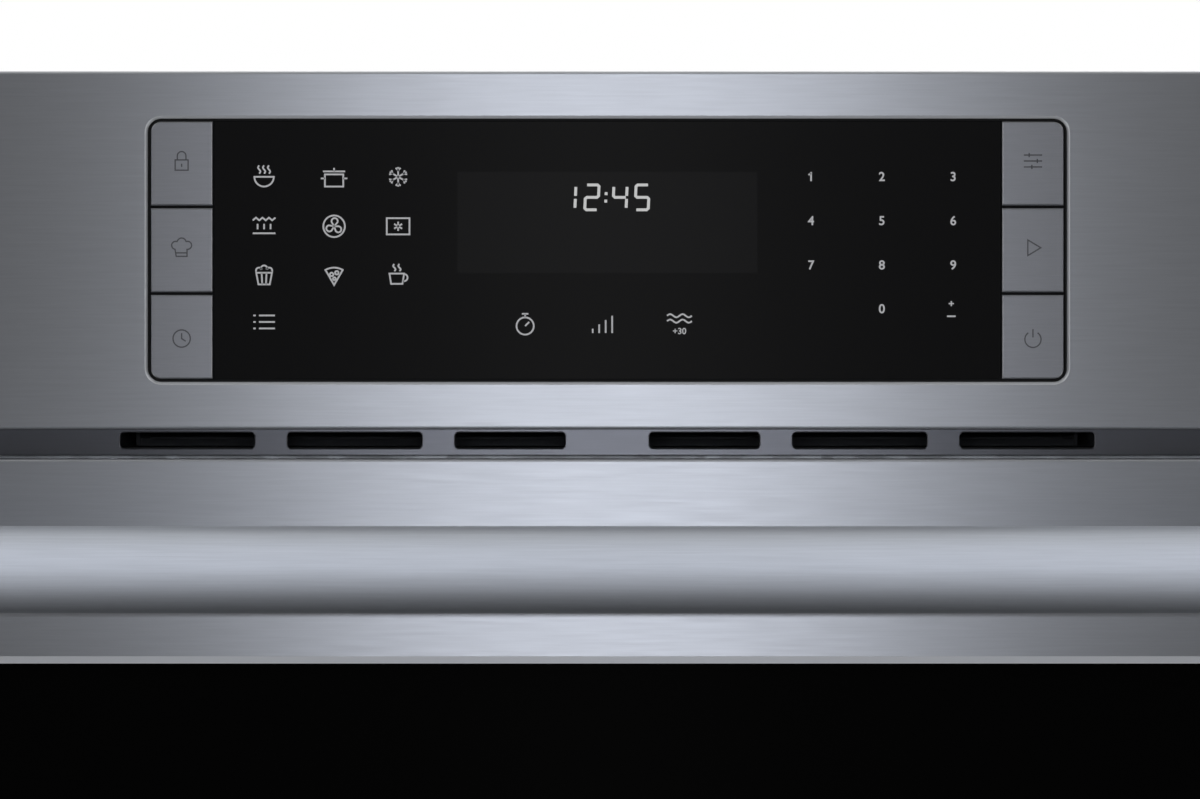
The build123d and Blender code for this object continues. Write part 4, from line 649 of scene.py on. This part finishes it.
# Signs on the keys
# Dark grey laser marks on the caps: plain signs, each riding on its own key.
key_signs = {
    "key_left_top": [[(-2.4, -3.4), (2.4, -3.4), (2.4, 0.4), (-2.4, 0.4), (-2.4, -3.4)],
                     [(-1.6, 0.4), (-1.6, 1.9)] + arc(0, 1.9, 1.6, 180, 0, 10) + [(1.6, 0.4)],
                     [(0, -2.2), (0, -1.0)]],
    "key_left_middle": [[(-2.0, -3.2), (2.0, -3.2), (2.0, -0.6)] + arc(2.2, 0.9, 1.5, -80, 110, 8)
                        + arc(0, 1.9, 1.7, 20, 160, 8) + arc(-2.2, 0.9, 1.5, 70, 260, 8) + [(-2.0, -3.2)],
                        [(-2.0, -1.9), (2.0, -1.9)]],
    "key_left_bottom": [arc(0, 0, 3.2, 0, 360, 26), [(0, 2.0), (0, 0), (1.5, -1.0)]],
    "key_right_top": [[(-3.4, z), (3.4, z)] for z in (2.2, 0, -2.2)]
                     + [[(x, z - 0.8), (x, z + 0.8)] for x, z in ((-1.4, 2.2), (1.6, 0), (-0.4, -2.2))],
    "key_right_middle": [[(-1.9, -2.9), (-1.9, 2.9), (2.9, 0), (-1.9, -2.9)]],
    "key_right_bottom": [arc(0, -0.3, 3.0, 125, 415, 24), [(0, 0.4), (0, 3.5)]],
}
key_stroke = 0.5
sign_rise = {"top": 0.9, "middle": 0.9, "bottom": -0.6}
key_ink = plain_finish("dark_laser_mark", "#47484b", "#55565a", 0.6, 0.55, 0.65)[0]
for name, strokes in key_signs.items():
    low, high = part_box(name)
    mark = bmesh.new()
    middle = ((low.x + high.x) / 2, (low.z + high.z) / 2 + sign_rise[name.split("_")[2]] * millimetre)
    print_sign(mark, strokes, key_stroke, middle, low.y)
    make_piece(name + "_sign", mark, key_ink, name, smooth=False)

# Control bezel, display and control board
# A black ABS moulding frames the glass and the keys, and shows as the thin dark gaps between them. The
# display stands behind the pane, on a green glass-epoxy board with its relays, chip, sockets and switches.
black_moulding = plain_finish("moulded_black_plastic", "#050506", "#0a0a0b", 0.6, 0.45, 0.55, 0.02,
                              Specular_IOR_Level=0.2)[0]
dress(black_moulding, "control_bezel")
smoked_face = plain_finish("smoked_polycarbonate", "#08080a", "#101013", 3.0, 0.18, 0.3)[0]
dress(smoked_face, "display_module")

board_low, board_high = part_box("control_board")
board_face = face_y + 12.0 * millimetre
board_back = board_face + 1.6 * millimetre
board_margin = 0.1 * millimetre
track_spacing = 5.5
track_width = 0.7
socket_x = 110
socket_drop = 30
socket_half_width = 18
socket_half_height = 6
board, tree, shader, place = plain_finish("relay_black_plastic", "#131314", "#1c1c1d", 1.0, 0.4, 0.5)
epoxy = inside_box(tree, place, (-1, board_face - board_margin, 0), (1, board_back + board_margin, 1), 0.05)
cells = add_node(tree, "ShaderNodeTexVoronoi", {"Vector": place, "Scale": 1 / (track_spacing * millimetre)},
                 feature="DISTANCE_TO_EDGE")
track = add_node(tree, "ShaderNodeMath", {0: cells.outputs[0], 1: track_width / track_spacing},
                 operation="LESS_THAN")
lacquer = add_node(tree, "ShaderNodeMix", {0: track.outputs[0], 6: srgb("#16482c"), 7: srgb("#2b6b41")},
                   data_type="RGBA")
overlay(tree, shader, epoxy, Base_Color=lacquer.outputs[2], Roughness=0.3)
not_board = add_node(tree, "ShaderNodeMath", {0: 1.0, 1: epoxy}, operation="SUBTRACT").outputs[0]
socket_z = (board_low.z + board_high.z) / 2 - socket_drop * millimetre
reach = Vector((socket_half_width * millimetre, 1, socket_half_height * millimetre))
for side in (-1, 1):
    middle = Vector((side * socket_x * millimetre, 0, socket_z))
    white_socket = inside_box(tree, place, middle - reach, middle + reach, 0.2)
    moulded = add_node(tree, "ShaderNodeMath", {0: white_socket, 1: not_board}, operation="MULTIPLY")
    overlay(tree, shader, moulded.outputs[0], Base_Color="#d9d6cb", Roughness=0.45)
dress(board, "control_board")

# Air outlet strip
# A folded channel of steel, set back under the fascia, with six slots that the cooling air leaves by.
# Its colour is partly a darker steel tone and partly painted shade from the recess under the fascia.
# Painted shade: the strip's base colour is darkened for the shade of its recess, on top of a darker steel
# tone
strip_steel_with_painted_shade = brushed_steel("dark_strip_steel_with_painted_shade", "#7e7f84", 0.33, 0.95, 20.0, 0.9, 0.03)
dress(strip_steel_with_painted_shade, "vent_trim")

# Inner door
# A folded steel pan, enamelled grey with fine specks, carries the pierced screen and a clear inner pane with
# a black fired border. A heat-proof moulding clips round them and covers the choke.
speck_spacing = 1.6
# As a share of their spacing
speck_radius = 0.22
enamel, tree, shader, place = plain_finish("speckled_grey_enamel", "#5c5f62", "#64676a", 6.0, 0.22, 0.3,
                                           Coat_Weight=0.3)
specks = add_node(tree, "ShaderNodeTexVoronoi", {"Vector": place, "Scale": 1 / (speck_spacing * millimetre)})
pale = add_node(tree, "ShaderNodeMath", {0: specks.outputs[0], 1: speck_radius}, operation="LESS_THAN")
overlay(tree, shader, pale.outputs[0], Base_Color="#a9acae")
dress(enamel, "door_pan")
dress(black_moulding, "door_inner_trim")

inner_glass, tree, shader, place = start_material("clear_float_glass", Roughness=0.02, IOR=1.5,
                                                  Base_Color=srgb("#eef4f1"), Transmission_Weight=1.0)
pane_low, pane_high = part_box("door_inner_glass")
border = 13 * millimetre
bare = inside_box(tree, place, (pane_low.x + border, -1, pane_low.z + border),
                  (pane_high.x - border, 1, pane_high.z - border), 0.3)
printed = add_node(tree, "ShaderNodeMath", {0: 1.0, 1: bare}, operation="SUBTRACT").outputs[0]
overlay(tree, shader, printed, Base_Color="#0b0b0b", Roughness=0.25, Transmission_Weight=0.0)
dress(inner_glass, "door_inner_glass")

# Pierced screen
# A 0.8 mm sheet with rows of round holes, small enough to hold the microwaves in, welded behind the pan's
# window. The holes are drawn at 6 mm pitch, three times the real one, so that they show.
screen_low, screen_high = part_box("door_screen")
screen_pitch = 6.0 * millimetre
hole_radius = 2.1 * millimetre
screen_margin = 12.0 * millimetre
hole_sides = 8


def make_pierced_sheet(low, high, pitch, radius, margin):
    """A thin sheet in XZ with a grid of holes, and a plain margin round them."""
    sheet = bmesh.new()
    width, height = high.x - low.x - 2 * margin, high.z - low.z - 2 * margin
    columns, rows = int(width / pitch), int(height / pitch)
    left, bottom = (low.x + high.x - columns * pitch) / 2, (low.z + high.z - rows * pitch) / 2
    corners = {}
    for side, y in enumerate((low.y, high.y)):
        for i in range(columns + 1):
            for j in range(rows + 1):
                corners[side, i, j] = sheet.verts.new((left + i * pitch, y, bottom + j * pitch))
    steps = [math.radians(360 * (k + 0.5) / hole_sides - 135) for k in range(hole_sides)]
    for i in range(columns):
        for j in range(rows):
            rings = []
            for side, y in enumerate((low.y, high.y)):
                x, z = left + (i + 0.5) * pitch, bottom + (j + 0.5) * pitch
                ring = [sheet.verts.new((x + radius * math.cos(t), y, z + radius * math.sin(t)))
                        for t in steps]
                around = [corners[side, i, j], corners[side, i + 1, j], corners[side, i + 1, j + 1],
                          corners[side, i, j + 1]]
                for k in range(4):
                    a, b = ring[2 * k], ring[2 * k + 1]
                    sheet.faces.new((around[k], around[(k + 1) % 4], b, a))
                    sheet.faces.new((around[(k + 1) % 4], ring[(2 * k + 2) % hole_sides], b))
                rings.append(ring)
            for k in range(hole_sides):
                n = (k + 1) % hole_sides
                sheet.faces.new((rings[0][k], rings[0][n], rings[1][n], rings[1][k]))
    # The plain margin is four faces a side, from the grid's outline to the sheet's edge
    edges = []
    for side, y in enumerate((low.y, high.y)):
        outer = [sheet.verts.new((x, y, z)) for x, z in ((low.x, low.z), (high.x, low.z), (high.x, high.z),
                                                         (low.x, high.z))]
        runs = [[corners[side, i, 0] for i in range(columns + 1)],
                [corners[side, columns, j] for j in range(rows + 1)],
                [corners[side, i, rows] for i in range(columns, -1, -1)],
                [corners[side, 0, j] for j in range(rows, -1, -1)]]
        for k, run in enumerate(runs):
            sheet.faces.new([outer[k], outer[(k + 1) % 4]] + run[::-1])
        edges.append(outer)
    near, far = edges
    for k in range(4):
        sheet.faces.new((near[k], near[(k + 1) % 4], far[(k + 1) % 4], far[k]))
    return sheet


pierced = make_pierced_sheet(screen_low, screen_high, screen_pitch, hole_radius, screen_margin)
screen_black = plain_finish("black_enamelled_steel", "#0c0c0d", "#141415", 4.0, 0.3, 0.4)[0]
screen = make_piece("pierced_door_screen", pierced, screen_black, "door")
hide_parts("door_screen")

# Door hinges, springs and screws
# Pressed and zinc-plated steel. The springs are oil-tempered wire wound on the ends of the pins.
spangle_size = 7.0
galvanised, tree, shader, place = start_material("galvanised_sheet", Metallic=0.75)
cells = add_node(tree, "ShaderNodeTexVoronoi", {"Vector": place, "Scale": 1 / (spangle_size * millimetre)})
crystal = add_node(tree, "ShaderNodeSeparateColor", {0: cells.outputs["Color"]}).outputs[0]
tone = add_node(tree, "ShaderNodeMix", {0: crystal, 6: srgb("#a4a7a9"), 7: srgb("#b9bcbe")}, data_type="RGBA")
tree.links.new(tone.outputs[2], shader.inputs["Base Color"])
gloss = add_node(tree, "ShaderNodeMapRange", {"Value": crystal, "To Min": 0.36, "To Max": 0.5})
tree.links.new(gloss.outputs[0], shader.inputs["Roughness"])
dress(galvanised, "hinge_lugs", "door_hinge_brackets")
zinc = plain_finish("bright_zinc_plate", "#b7b9b6", "#c9cac4", 3.0, 0.25, 0.38, Metallic=1.0)[0]
dress(zinc, "hinge_pins", "door_screws")
spring_steel = plain_finish("oil_tempered_wire", "#4c4a48", "#63605c", 1.5, 0.3, 0.45, Metallic=1.0)[0]
dress(spring_steel, "hinge_springs")

# Latches
# Moulded nylon hooks swing on the door. They enter black housings, each with two switches that cut the power.
# The switches' brass blades stand out at the back.
blade_length = 5.05
nylon = plain_finish("moulded_nylon", "#d8d2c3", "#e2ddcf", 8.0, 0.4, 0.5, 0.01, Subsurface_Weight=0.08)[0]
dress(nylon, "latch_hook_left", "latch_hook_right")
dress(black_moulding, "latch_housings")
switch_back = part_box("interlock_switches")[1].y
switch_case, tree, shader, place = plain_finish("switch_case_plastic", "#1b1b1d", "#242426", 1.5, 0.35, 0.45)
finish_part(tree, shader, place, (-1, switch_back - blade_length * millimetre, 0),
            (1, switch_back + 0.001, 1), 0.05, Base_Color="#c9b896", Metallic=1.0, Roughness=0.3)
dress(switch_case, "interlock_switches")

# Front frame, case and base
# Pressed galvanised sheet, spot-welded and screwed. The wrapper folds over the top and sides. The hoods over
# its air slots open to the back on the roof and downwards on the sides. The rear panel is only pierced.
dress(galvanised, "front_frame", "case_wrapper", "base_plate", "rear_panel")

hood_length = 43.0
hood_width = 8.5
hood_height = 3.2
hood_sheet = 0.8
hood_reach = 0.72
hood_squareness = 5
hood_columns = 14
hood_rows = 5
louvre_pitch = 12.0


def add_hood(target, place):
    """A pressed hood over one slot: closed along one side and its ends, and open along the other side."""
    layers = []
    for inset in (0.0, hood_sheet):
        grid = []
        for i in range(hood_columns + 1):
            along = 2 * i / hood_columns - 1
            swell = (1 - abs(along) ** hood_squareness) ** 0.5
            row = []
            for j in range(hood_rows + 1):
                turn = math.radians(90 * j / hood_rows)
                x = along * (hood_length / 2 - inset)
                y = hood_width * ((1 - math.cos(turn)) * hood_reach - 0.5) + inset * (1 - j / hood_rows)
                z = (hood_height - inset) * swell * math.sin(turn)
                row.append(target.verts.new(place @ Vector((x * millimetre, y * millimetre, z * millimetre))))
            grid.append(row)
        layers.append(grid)
    outer, inner = layers
    for i in range(hood_columns):
        for j in range(hood_rows):
            for grid, step in ((outer, 1), (inner, -1)):
                face = (grid[i][j], grid[i + 1][j], grid[i + 1][j + 1], grid[i][j + 1])
                target.faces.new(face[::step])
        for j in (0, hood_rows):
            target.faces.new((outer[i][j], inner[i][j], inner[i + 1][j], outer[i + 1][j]))
    for i in (0, hood_columns):
        for j in range(hood_rows):
            target.faces.new((outer[i][j], outer[i][j + 1], inner[i][j + 1], inner[i][j]))


case_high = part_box("case_wrapper")[1]
roof_columns = (-52.0, 0.0, 52.0)
roof_depths = [400.0 + row * louvre_pitch for row in range(8)]
side_depths = (350.0, 402.0)
side_drops = [90.0 + row * louvre_pitch for row in range(5)]
hoods = bmesh.new()
for depth in roof_depths:
    for x in roof_columns:
        add_hood(hoods, Matrix.Translation((x * millimetre, face_y + depth * millimetre, case_high.z)))
for side in (-1, 1):
    outward = Matrix.Rotation(math.radians(90 * side), 4, "Y")
    mouth_down = Matrix.Rotation(math.radians(-90 * side), 4, "Z")
    for drop in side_drops:
        for depth in side_depths:
            spot = (side * case_high.x, face_y + depth * millimetre, case_high.z - drop * millimetre)
            add_hood(hoods, Matrix.Translation(spot) @ outward @ mouth_down)
make_piece("pressed_louvre_hoods", hoods, galvanised, "root")

# Case screws
# Zinc-plated pan-head screws with a cross recess hold the wrapper to the frame and to the rear panel.
screw_head_radius = 4.0
screw_head_height = 2.0
screw_shank_radius = 2.0
screw_length = 9.0
screw_pitch = 1.4
thread_root_radius = 1.6
point_radius = 1.0
# The head's edge stands up by this share of its height, and the dome rises from there
head_edge = 0.35
recess_width = 1.1
recess_reach = 2.3
recess_depth = 1.2
screw_depths = (45.5, 536.0)
screw_heights = (420.0, 117.2)


def cut_mesh(body, cutter, name):
    """The body with the cutter taken away, both given as bmeshes that are used up."""
    pieces = []
    for source in (body, cutter):
        bmesh.ops.recalc_face_normals(source, faces=source.faces)
        mesh = bpy.data.meshes.new(name)
        source.to_mesh(mesh)
        source.free()
        piece = bpy.data.objects.new(name, mesh)
        scene.collection.objects.link(piece)
        pieces.append(piece)
    whole, tool = pieces
    boolean = whole.modifiers.new("cut", "BOOLEAN")
    boolean.operation = "DIFFERENCE"
    boolean.solver = "EXACT"
    boolean.use_self = True
    boolean.object = tool
    result = bpy.data.meshes.new_from_object(whole.evaluated_get(bpy.context.evaluated_depsgraph_get()))
    shape = bmesh.new()
    shape.from_mesh(result)
    for piece in pieces:
        mesh = piece.data
        bpy.data.objects.remove(piece)
        bpy.data.meshes.remove(mesh)
    bpy.data.meshes.remove(result)
    return shape


def lathe(target, profile, sides):
    """Turns a closed outline of radius and height, in millimetres, about Z."""
    rings = []
    for radius, height in profile:
        if radius < 1e-6:
            rings.append([target.verts.new((0, 0, height * millimetre))])
            continue
        turns = [2 * math.pi * k / sides for k in range(sides)]
        rings.append([target.verts.new((radius * math.cos(t) * millimetre, radius * math.sin(t) * millimetre,
                                        height * millimetre)) for t in turns])
    for lower, upper in zip(rings, rings[1:] + rings[:1]):
        if len(lower) == len(upper) == 1:
            continue
        for k in range(sides):
            n = (k + 1) % sides
            corners = (lower[k % len(lower)], lower[n % len(lower)], upper[n % len(upper)],
                       upper[k % len(upper)])
            target.faces.new(list(dict.fromkeys(corners)))


def add_block(target, low, high):
    """A box from corner to corner, in millimetres. Gives its corners back."""
    made = bmesh.ops.create_cube(target, size=millimetre)["verts"]
    size = Vector(high) - Vector(low)
    bmesh.ops.scale(target, vec=size, verts=made)
    bmesh.ops.translate(target, vec=(Vector(low) + Vector(high)) / 2 * millimetre, verts=made)
    return made


# The outline runs up from the point, over the thread's roots and crests, to the domed head
screw_outline = [(0, -screw_length), (point_radius, -screw_length)]
for turn in reversed(range(int(screw_length / screw_pitch))):
    screw_outline.append((thread_root_radius, -(turn + 0.5) * screw_pitch))
    screw_outline.append((screw_shank_radius, -turn * screw_pitch))
screw_outline.append((screw_head_radius, 0.0))
for lift in range(0, 90, 15):
    angle = math.radians(lift)
    screw_outline.append((screw_head_radius * math.cos(angle),
                          screw_head_height * (head_edge + (1 - head_edge) * math.sin(angle))))
screw_outline.append((0, screw_head_height))
screw_body = bmesh.new()
lathe(screw_body, screw_outline, 24)
cross = bmesh.new()
# One arm of the cross is 0.02 mm slimmer on each side than the other
for x, y in ((recess_reach, recess_width / 2), (recess_width / 2 - 0.02, recess_reach)):
    add_block(cross, (-x, -y, screw_head_height - recess_depth), (x, y, screw_head_height + 1))
screw_shape = cut_mesh(screw_body, cross, "screw")
one_screw = bpy.data.meshes.new("case_screw")
screw_shape.to_mesh(one_screw)
screw_shape.free()
screws = bmesh.new()
for side in (-1, 1):
    for i, depth in enumerate(screw_depths):
        for j, height in enumerate(screw_heights):
            spot = Vector((side * case_high.x, face_y + depth * millimetre, height * millimetre))
            turn = Matrix.Rotation(math.radians(90 * side), 4, "Y") @ Matrix.Rotation(0.4 + i + 2 * j, 4, "Z")
            one = one_screw.copy()
            one.transform(Matrix.Translation(spot) @ turn)
            screws.from_mesh(one)
            bpy.data.meshes.remove(one)
bpy.data.meshes.remove(one_screw)
case_screws = make_piece("cross_recess_case_screws", screws, zinc, "root")
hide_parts("case_screws")

# Conduit inlet
# A turned steel bush with its lock ring, for the supply cable to come through the top of the case.
dress(zinc, "conduit_inlet")

# Cavity
# A box of satin stainless sheet, welded and dull from heat, in a jacket of mineral fibre. A mica sheet covers
# the waveguide's mouth, and the lamp stands behind a hole on the left.
cavity_steel = plain_finish("heat_dulled_stainless", "#a3a29f", "#b4b2ae", 14.0, 0.34, 0.46, Metallic=0.7)[0]
dress(cavity_steel, "cavity_liner", "fan_baffle", "convection_fan")
# Bundles of strands. The single ones are too fine to show.
strand_length = 16.667
strand_width = 1.4286
fibre, tree, shader, place = plain_finish("mineral_fibre_felt", "#b9ab86", "#d6cba9", 9.0, 0.9, 1.0, 1.2)
across = 1 / (strand_width * millimetre)
stretch = (1 / (strand_length * millimetre), across, across)
strands = add_node(tree, "ShaderNodeMapping", {"Vector": place, "Scale": stretch}).outputs[0]
felting = add_node(tree, "ShaderNodeTexNoise", {"Vector": strands, "Scale": 1.0, "Detail": 4.0}).outputs[0]
pale = add_node(tree, "ShaderNodeMapRange", {"Value": felting, "From Min": 0.55, "From Max": 0.7})
overlay(tree, shader, pale.outputs[0], Base_Color="#e6dec4")
dress(fibre, "insulation_jacket")
mica = plain_finish("pressed_mica_sheet", "#a08f76", "#c9b99b", 4.0, 0.22, 0.45, 0.02)[0]
dress(mica, "mica_cover")

lamp_low, lamp_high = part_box("cavity_lamp")
lamp_middle = (lamp_low + lamp_high) / 2
bulb_start = 12 * millimetre
bulb_reach = 9 * millimetre
lamp_finish, tree, shader, place = plain_finish("lamp_housing_zinc", "#a9acae", "#b6b9bb", 6.0, 0.35, 0.45,
                                                Metallic=0.8)
finish_part(tree, shader, place,
            (lamp_low.x + bulb_start, lamp_middle.y - bulb_reach, lamp_middle.z - bulb_reach),
            (lamp_high.x + 0.01, lamp_middle.y + bulb_reach, lamp_middle.z + bulb_reach), 0.2,
            Base_Color="#f3efe2", Metallic=0.0, Roughness=0.12)
dress(lamp_finish, "cavity_lamp")

# The light of the bulb comes from a small soft box under the cavity's roof
cavity_low, cavity_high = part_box("cavity_liner")
cavity_middle = (cavity_low + cavity_high) / 2
cavity_glow = Vector((cavity_middle.x, cavity_middle.y, cavity_high.z - 20 * millimetre))
add_lamp("cavity_light", cavity_glow, cavity_middle, 0.3, 0.25, 0.5, "#fff1dc")

# Heating elements
# Mineral-filled tubes in a nickel alloy sheath, which turns dull and brown-grey with heat, bent to shape.
sheath = plain_finish("oxidised_nickel_sheath", "#3c3936", "#55504a", 18.0, 0.45, 0.6, 0.03, Metallic=0.7)[0]
dress(sheath, "broil_element", "convection_heater")

# Turntable
# A pressed glass tray with a raised rim and shallow rings in its underside rides on three nylon wheels, and
# is carried round by a three-armed coupler on the shaft of a flat geared motor.
tray_low, tray_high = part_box("turntable_tray")
tray_axis = Vector(((tray_low.x + tray_high.x) / 2, (tray_low.y + tray_high.y) / 2, tray_low.z))
tray_radius = (tray_high.x - tray_low.x) / 2 / millimetre
tray_height = (tray_high.z - tray_low.z) / millimetre
tray_floor = 5.0
foot_radius = tray_radius - 16.0
ring_radii = (40, 76, 122, 146)
ring_groove = 0.4
slot_reach = 19.3
slot_half = 4.1
slot_depth = 2.9
underside = [(0, 0)]
for radius in ring_radii:
    underside += [(radius - 2.5, 0), (radius - 1.2, ring_groove), (radius + 1.2, ring_groove),
                  (radius + 2.5, 0)]
underside += [(foot_radius - 2, 0), (foot_radius, 0.5)]
rim = [(tray_radius - 0.8, tray_height - tray_floor + 0.2), (tray_radius, tray_height - 3.6),
       (tray_radius, tray_height - 1.4), (tray_radius - 0.7, tray_height - 0.3),
       (tray_radius - 2.0, tray_height), (tray_radius - 3.6, tray_height - 0.4),
       (tray_radius - 5.2, tray_height - 1.6)]
upper = [(foot_radius + 3.0, tray_floor + 1.4), (foot_radius - 2.5, tray_floor + 0.2),
         (foot_radius - 6, tray_floor), (foot_radius - 14, tray_floor), (foot_radius - 15, tray_floor - 0.5),
         (24, tray_floor - 0.5), (23, tray_floor), (0, tray_floor)]
tray_body = bmesh.new()
lathe(tray_body, underside + rim + upper, 128)
slots = bmesh.new()
# Each arm starts a hair further out and reaches a hair higher than the last, so that their tops differ
for i in range(3):
    arm = add_block(slots, (0.01 * i, -slot_half, -1.0), (slot_reach, slot_half, slot_depth + 0.01 * i))
    bmesh.ops.rotate(slots, cent=(0, 0, 0), matrix=Matrix.Rotation(math.radians(120 * i), 3, "Z"), verts=arm)
tray_shape = cut_mesh(tray_body, slots, "tray")
bmesh.ops.translate(tray_shape, vec=tray_axis, verts=tray_shape.verts)
tray_glass = plain_finish("pressed_soda_lime_glass", "#e9f1ed", "#f2f7f4", 20.0, 0.02, 0.05, IOR=1.5,
                          Transmission_Weight=1.0)[0]
tray = make_piece("pressed_glass_tray", tray_shape, tray_glass, "tray")
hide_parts("turntable_tray")
dress(nylon, "drive_coupler", "roller_ring", "roller_wheel_1", "roller_wheel_2", "roller_wheel_3")
dress(zinc, "turntable_motor")

# Convection fan
# A steel chamber welded behind the cavity holds the fan. Its shaded-pole motor stands clear of the heat on
# four posts, a stack of steel sheets with a taped coil.
dress(galvanised, "convection_chamber")
# The sheets are drawn 1.4 mm thick, about three times the real ones, so that they show
core_sheet = 1.4
core_groove = 0.12
# A wave texture at scale 1 repeats every 0.314 units
wave_length = 0.314


def laminated_core(name, bands, coil_boxes, coil_colour):
    """A stack of steel sheets, with its edges shown as fine lines across the given axis, and its coils."""
    material, tree, shader, place = plain_finish(name, "#5e6062", "#74777a", 5.0, 0.4, 0.5, Metallic=0.85)
    lines = add_node(tree, "ShaderNodeTexWave",
                     {"Vector": place, "Scale": wave_length / (core_sheet * millimetre)},
                     bands_direction=bands)
    bump = add_node(tree, "ShaderNodeBump",
                    {"Height": lines.outputs[0], "Distance": core_groove * millimetre})
    tree.links.new(bump.outputs[0], shader.inputs["Normal"])
    for low, high in coil_boxes:
        finish_part(tree, shader, place, low, high, 0.05, Base_Color=coil_colour, Metallic=0.0,
                    Roughness=0.45)
    return material


motor_low, motor_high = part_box("convection_motor")
fan_coil_half = 16.5 * millimetre
fan_coil_height = 20.5 * millimetre
fan_coil = ((-fan_coil_half, motor_low.y, motor_high.z - fan_coil_height),
            (fan_coil_half, motor_high.y + 0.001, motor_high.z + 0.001))
dress(laminated_core("fan_motor_stack", "Y", [fan_coil], "#d8c98a"), "convection_motor")

# Microwave supply
# The magnetron in its yoke, with aluminium fins and a filter box, sends the microwaves down a welded steel
# duct. A transformer of stacked sheets with enamelled copper coils and an oil-filled capacitor feed it.
dress(galvanised, "waveguide")
tube_low, tube_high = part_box("magnetron")
fins_left = 0.180
fins_right = 0.2285
yoke_sheet = 2.0 * millimetre
fin_gap = 2.1 * millimetre
antenna_left = 0.2363
magnetron, tree, shader, place = plain_finish("plated_steel_yoke", "#9b9e9c", "#adb0ad", 5.0, 0.3, 0.42,
                                              Metallic=0.85)
finish_part(tree, shader, place, (fins_left, tube_low.y + yoke_sheet, tube_low.z + fin_gap),
            (fins_right, tube_high.y - yoke_sheet, tube_high.z - fin_gap), 0.05,
            Base_Color="#d3d5d8", Metallic=1.0, Roughness=0.32)
finish_part(tree, shader, place, (antenna_left, -1, 0), (1, 1, 1), 0.05,
            Base_Color="#c0b7a6", Metallic=0.6, Roughness=0.35)
dress(magnetron, "magnetron")

core_low, core_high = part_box("hv_transformer")
coil_reach = 14 * millimetre
coil_left, coil_right = -0.2332, -0.1768
coil_bottom, coil_top = 0.3205, 0.3965
coils = [((coil_left, near, coil_bottom), (coil_right, far, coil_top))
         for near, far in ((core_low.y - 0.001, core_low.y + coil_reach),
                           (core_high.y - coil_reach, core_high.y + 0.001))]
dress(laminated_core("transformer_stack", "Y", coils, "#7a3b1d"), "hv_transformer")

can_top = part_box("hv_capacitor")[1].z
post_height = 8.9 * millimetre
can, tree, shader, place = plain_finish("drawn_aluminium_can", "#b9bbbd", "#cacccd", 8.0, 0.28, 0.4,
                                        Metallic=1.0)
finish_part(tree, shader, place, (-1, -1, can_top - post_height), (1, 1, 1), 0.05,
            Base_Color="#3a2a20", Metallic=0.0, Roughness=0.4)
dress(can, "hv_capacitor")

# Cooling
# A folded shelf over the cavity carries a long cross-flow blower. Its flat duct runs forward to the air
# outlet. The front of the duct is black as painted shade, so that the slots look dark inside.
dress(galvanised, "component_shelf")
painted_shade_depth = 75
galvanised_and_shaded_duct, tree, shader, place = plain_finish("galvanised_duct_with_painted_shade_mouth", "#9fa2a4", "#b4b7b9", 7.0, 0.38, 0.5,
                                         Metallic=0.75)
# Painted shade: black over the front 75 mm of the duct, for the dark inside the slots
finish_part(tree, shader, place, (-1, -1, 0), (1, face_y + painted_shade_depth * millimetre, 1), 4.0,
            Base_Color="#050505", Metallic=0.0, Roughness=0.85)
dress(galvanised_and_shaded_duct, "blower_housing")
wheel_metal = plain_finish("bare_aluminium", "#bfc1c3", "#cfd0d1", 6.0, 0.32, 0.42, Metallic=1.0)[0]
dress(wheel_metal, "blower_wheel")
blower_low, blower_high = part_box("blower_motor")
blower_middle_y = (blower_low.y + blower_high.y) / 2
blower_coil_half = 12.8 * millimetre
blower_coil_height = 16.5 * millimetre
blower_coil = ((-1, blower_middle_y - blower_coil_half, blower_high.z - blower_coil_height),
               (1, blower_middle_y + blower_coil_half, 1))
dress(laminated_core("blower_motor_stack", "X", [blower_coil], "#d8c98a"), "blower_motor")

# Sizes
# The box round the dressed oven, leaving out the stage.
low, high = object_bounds()
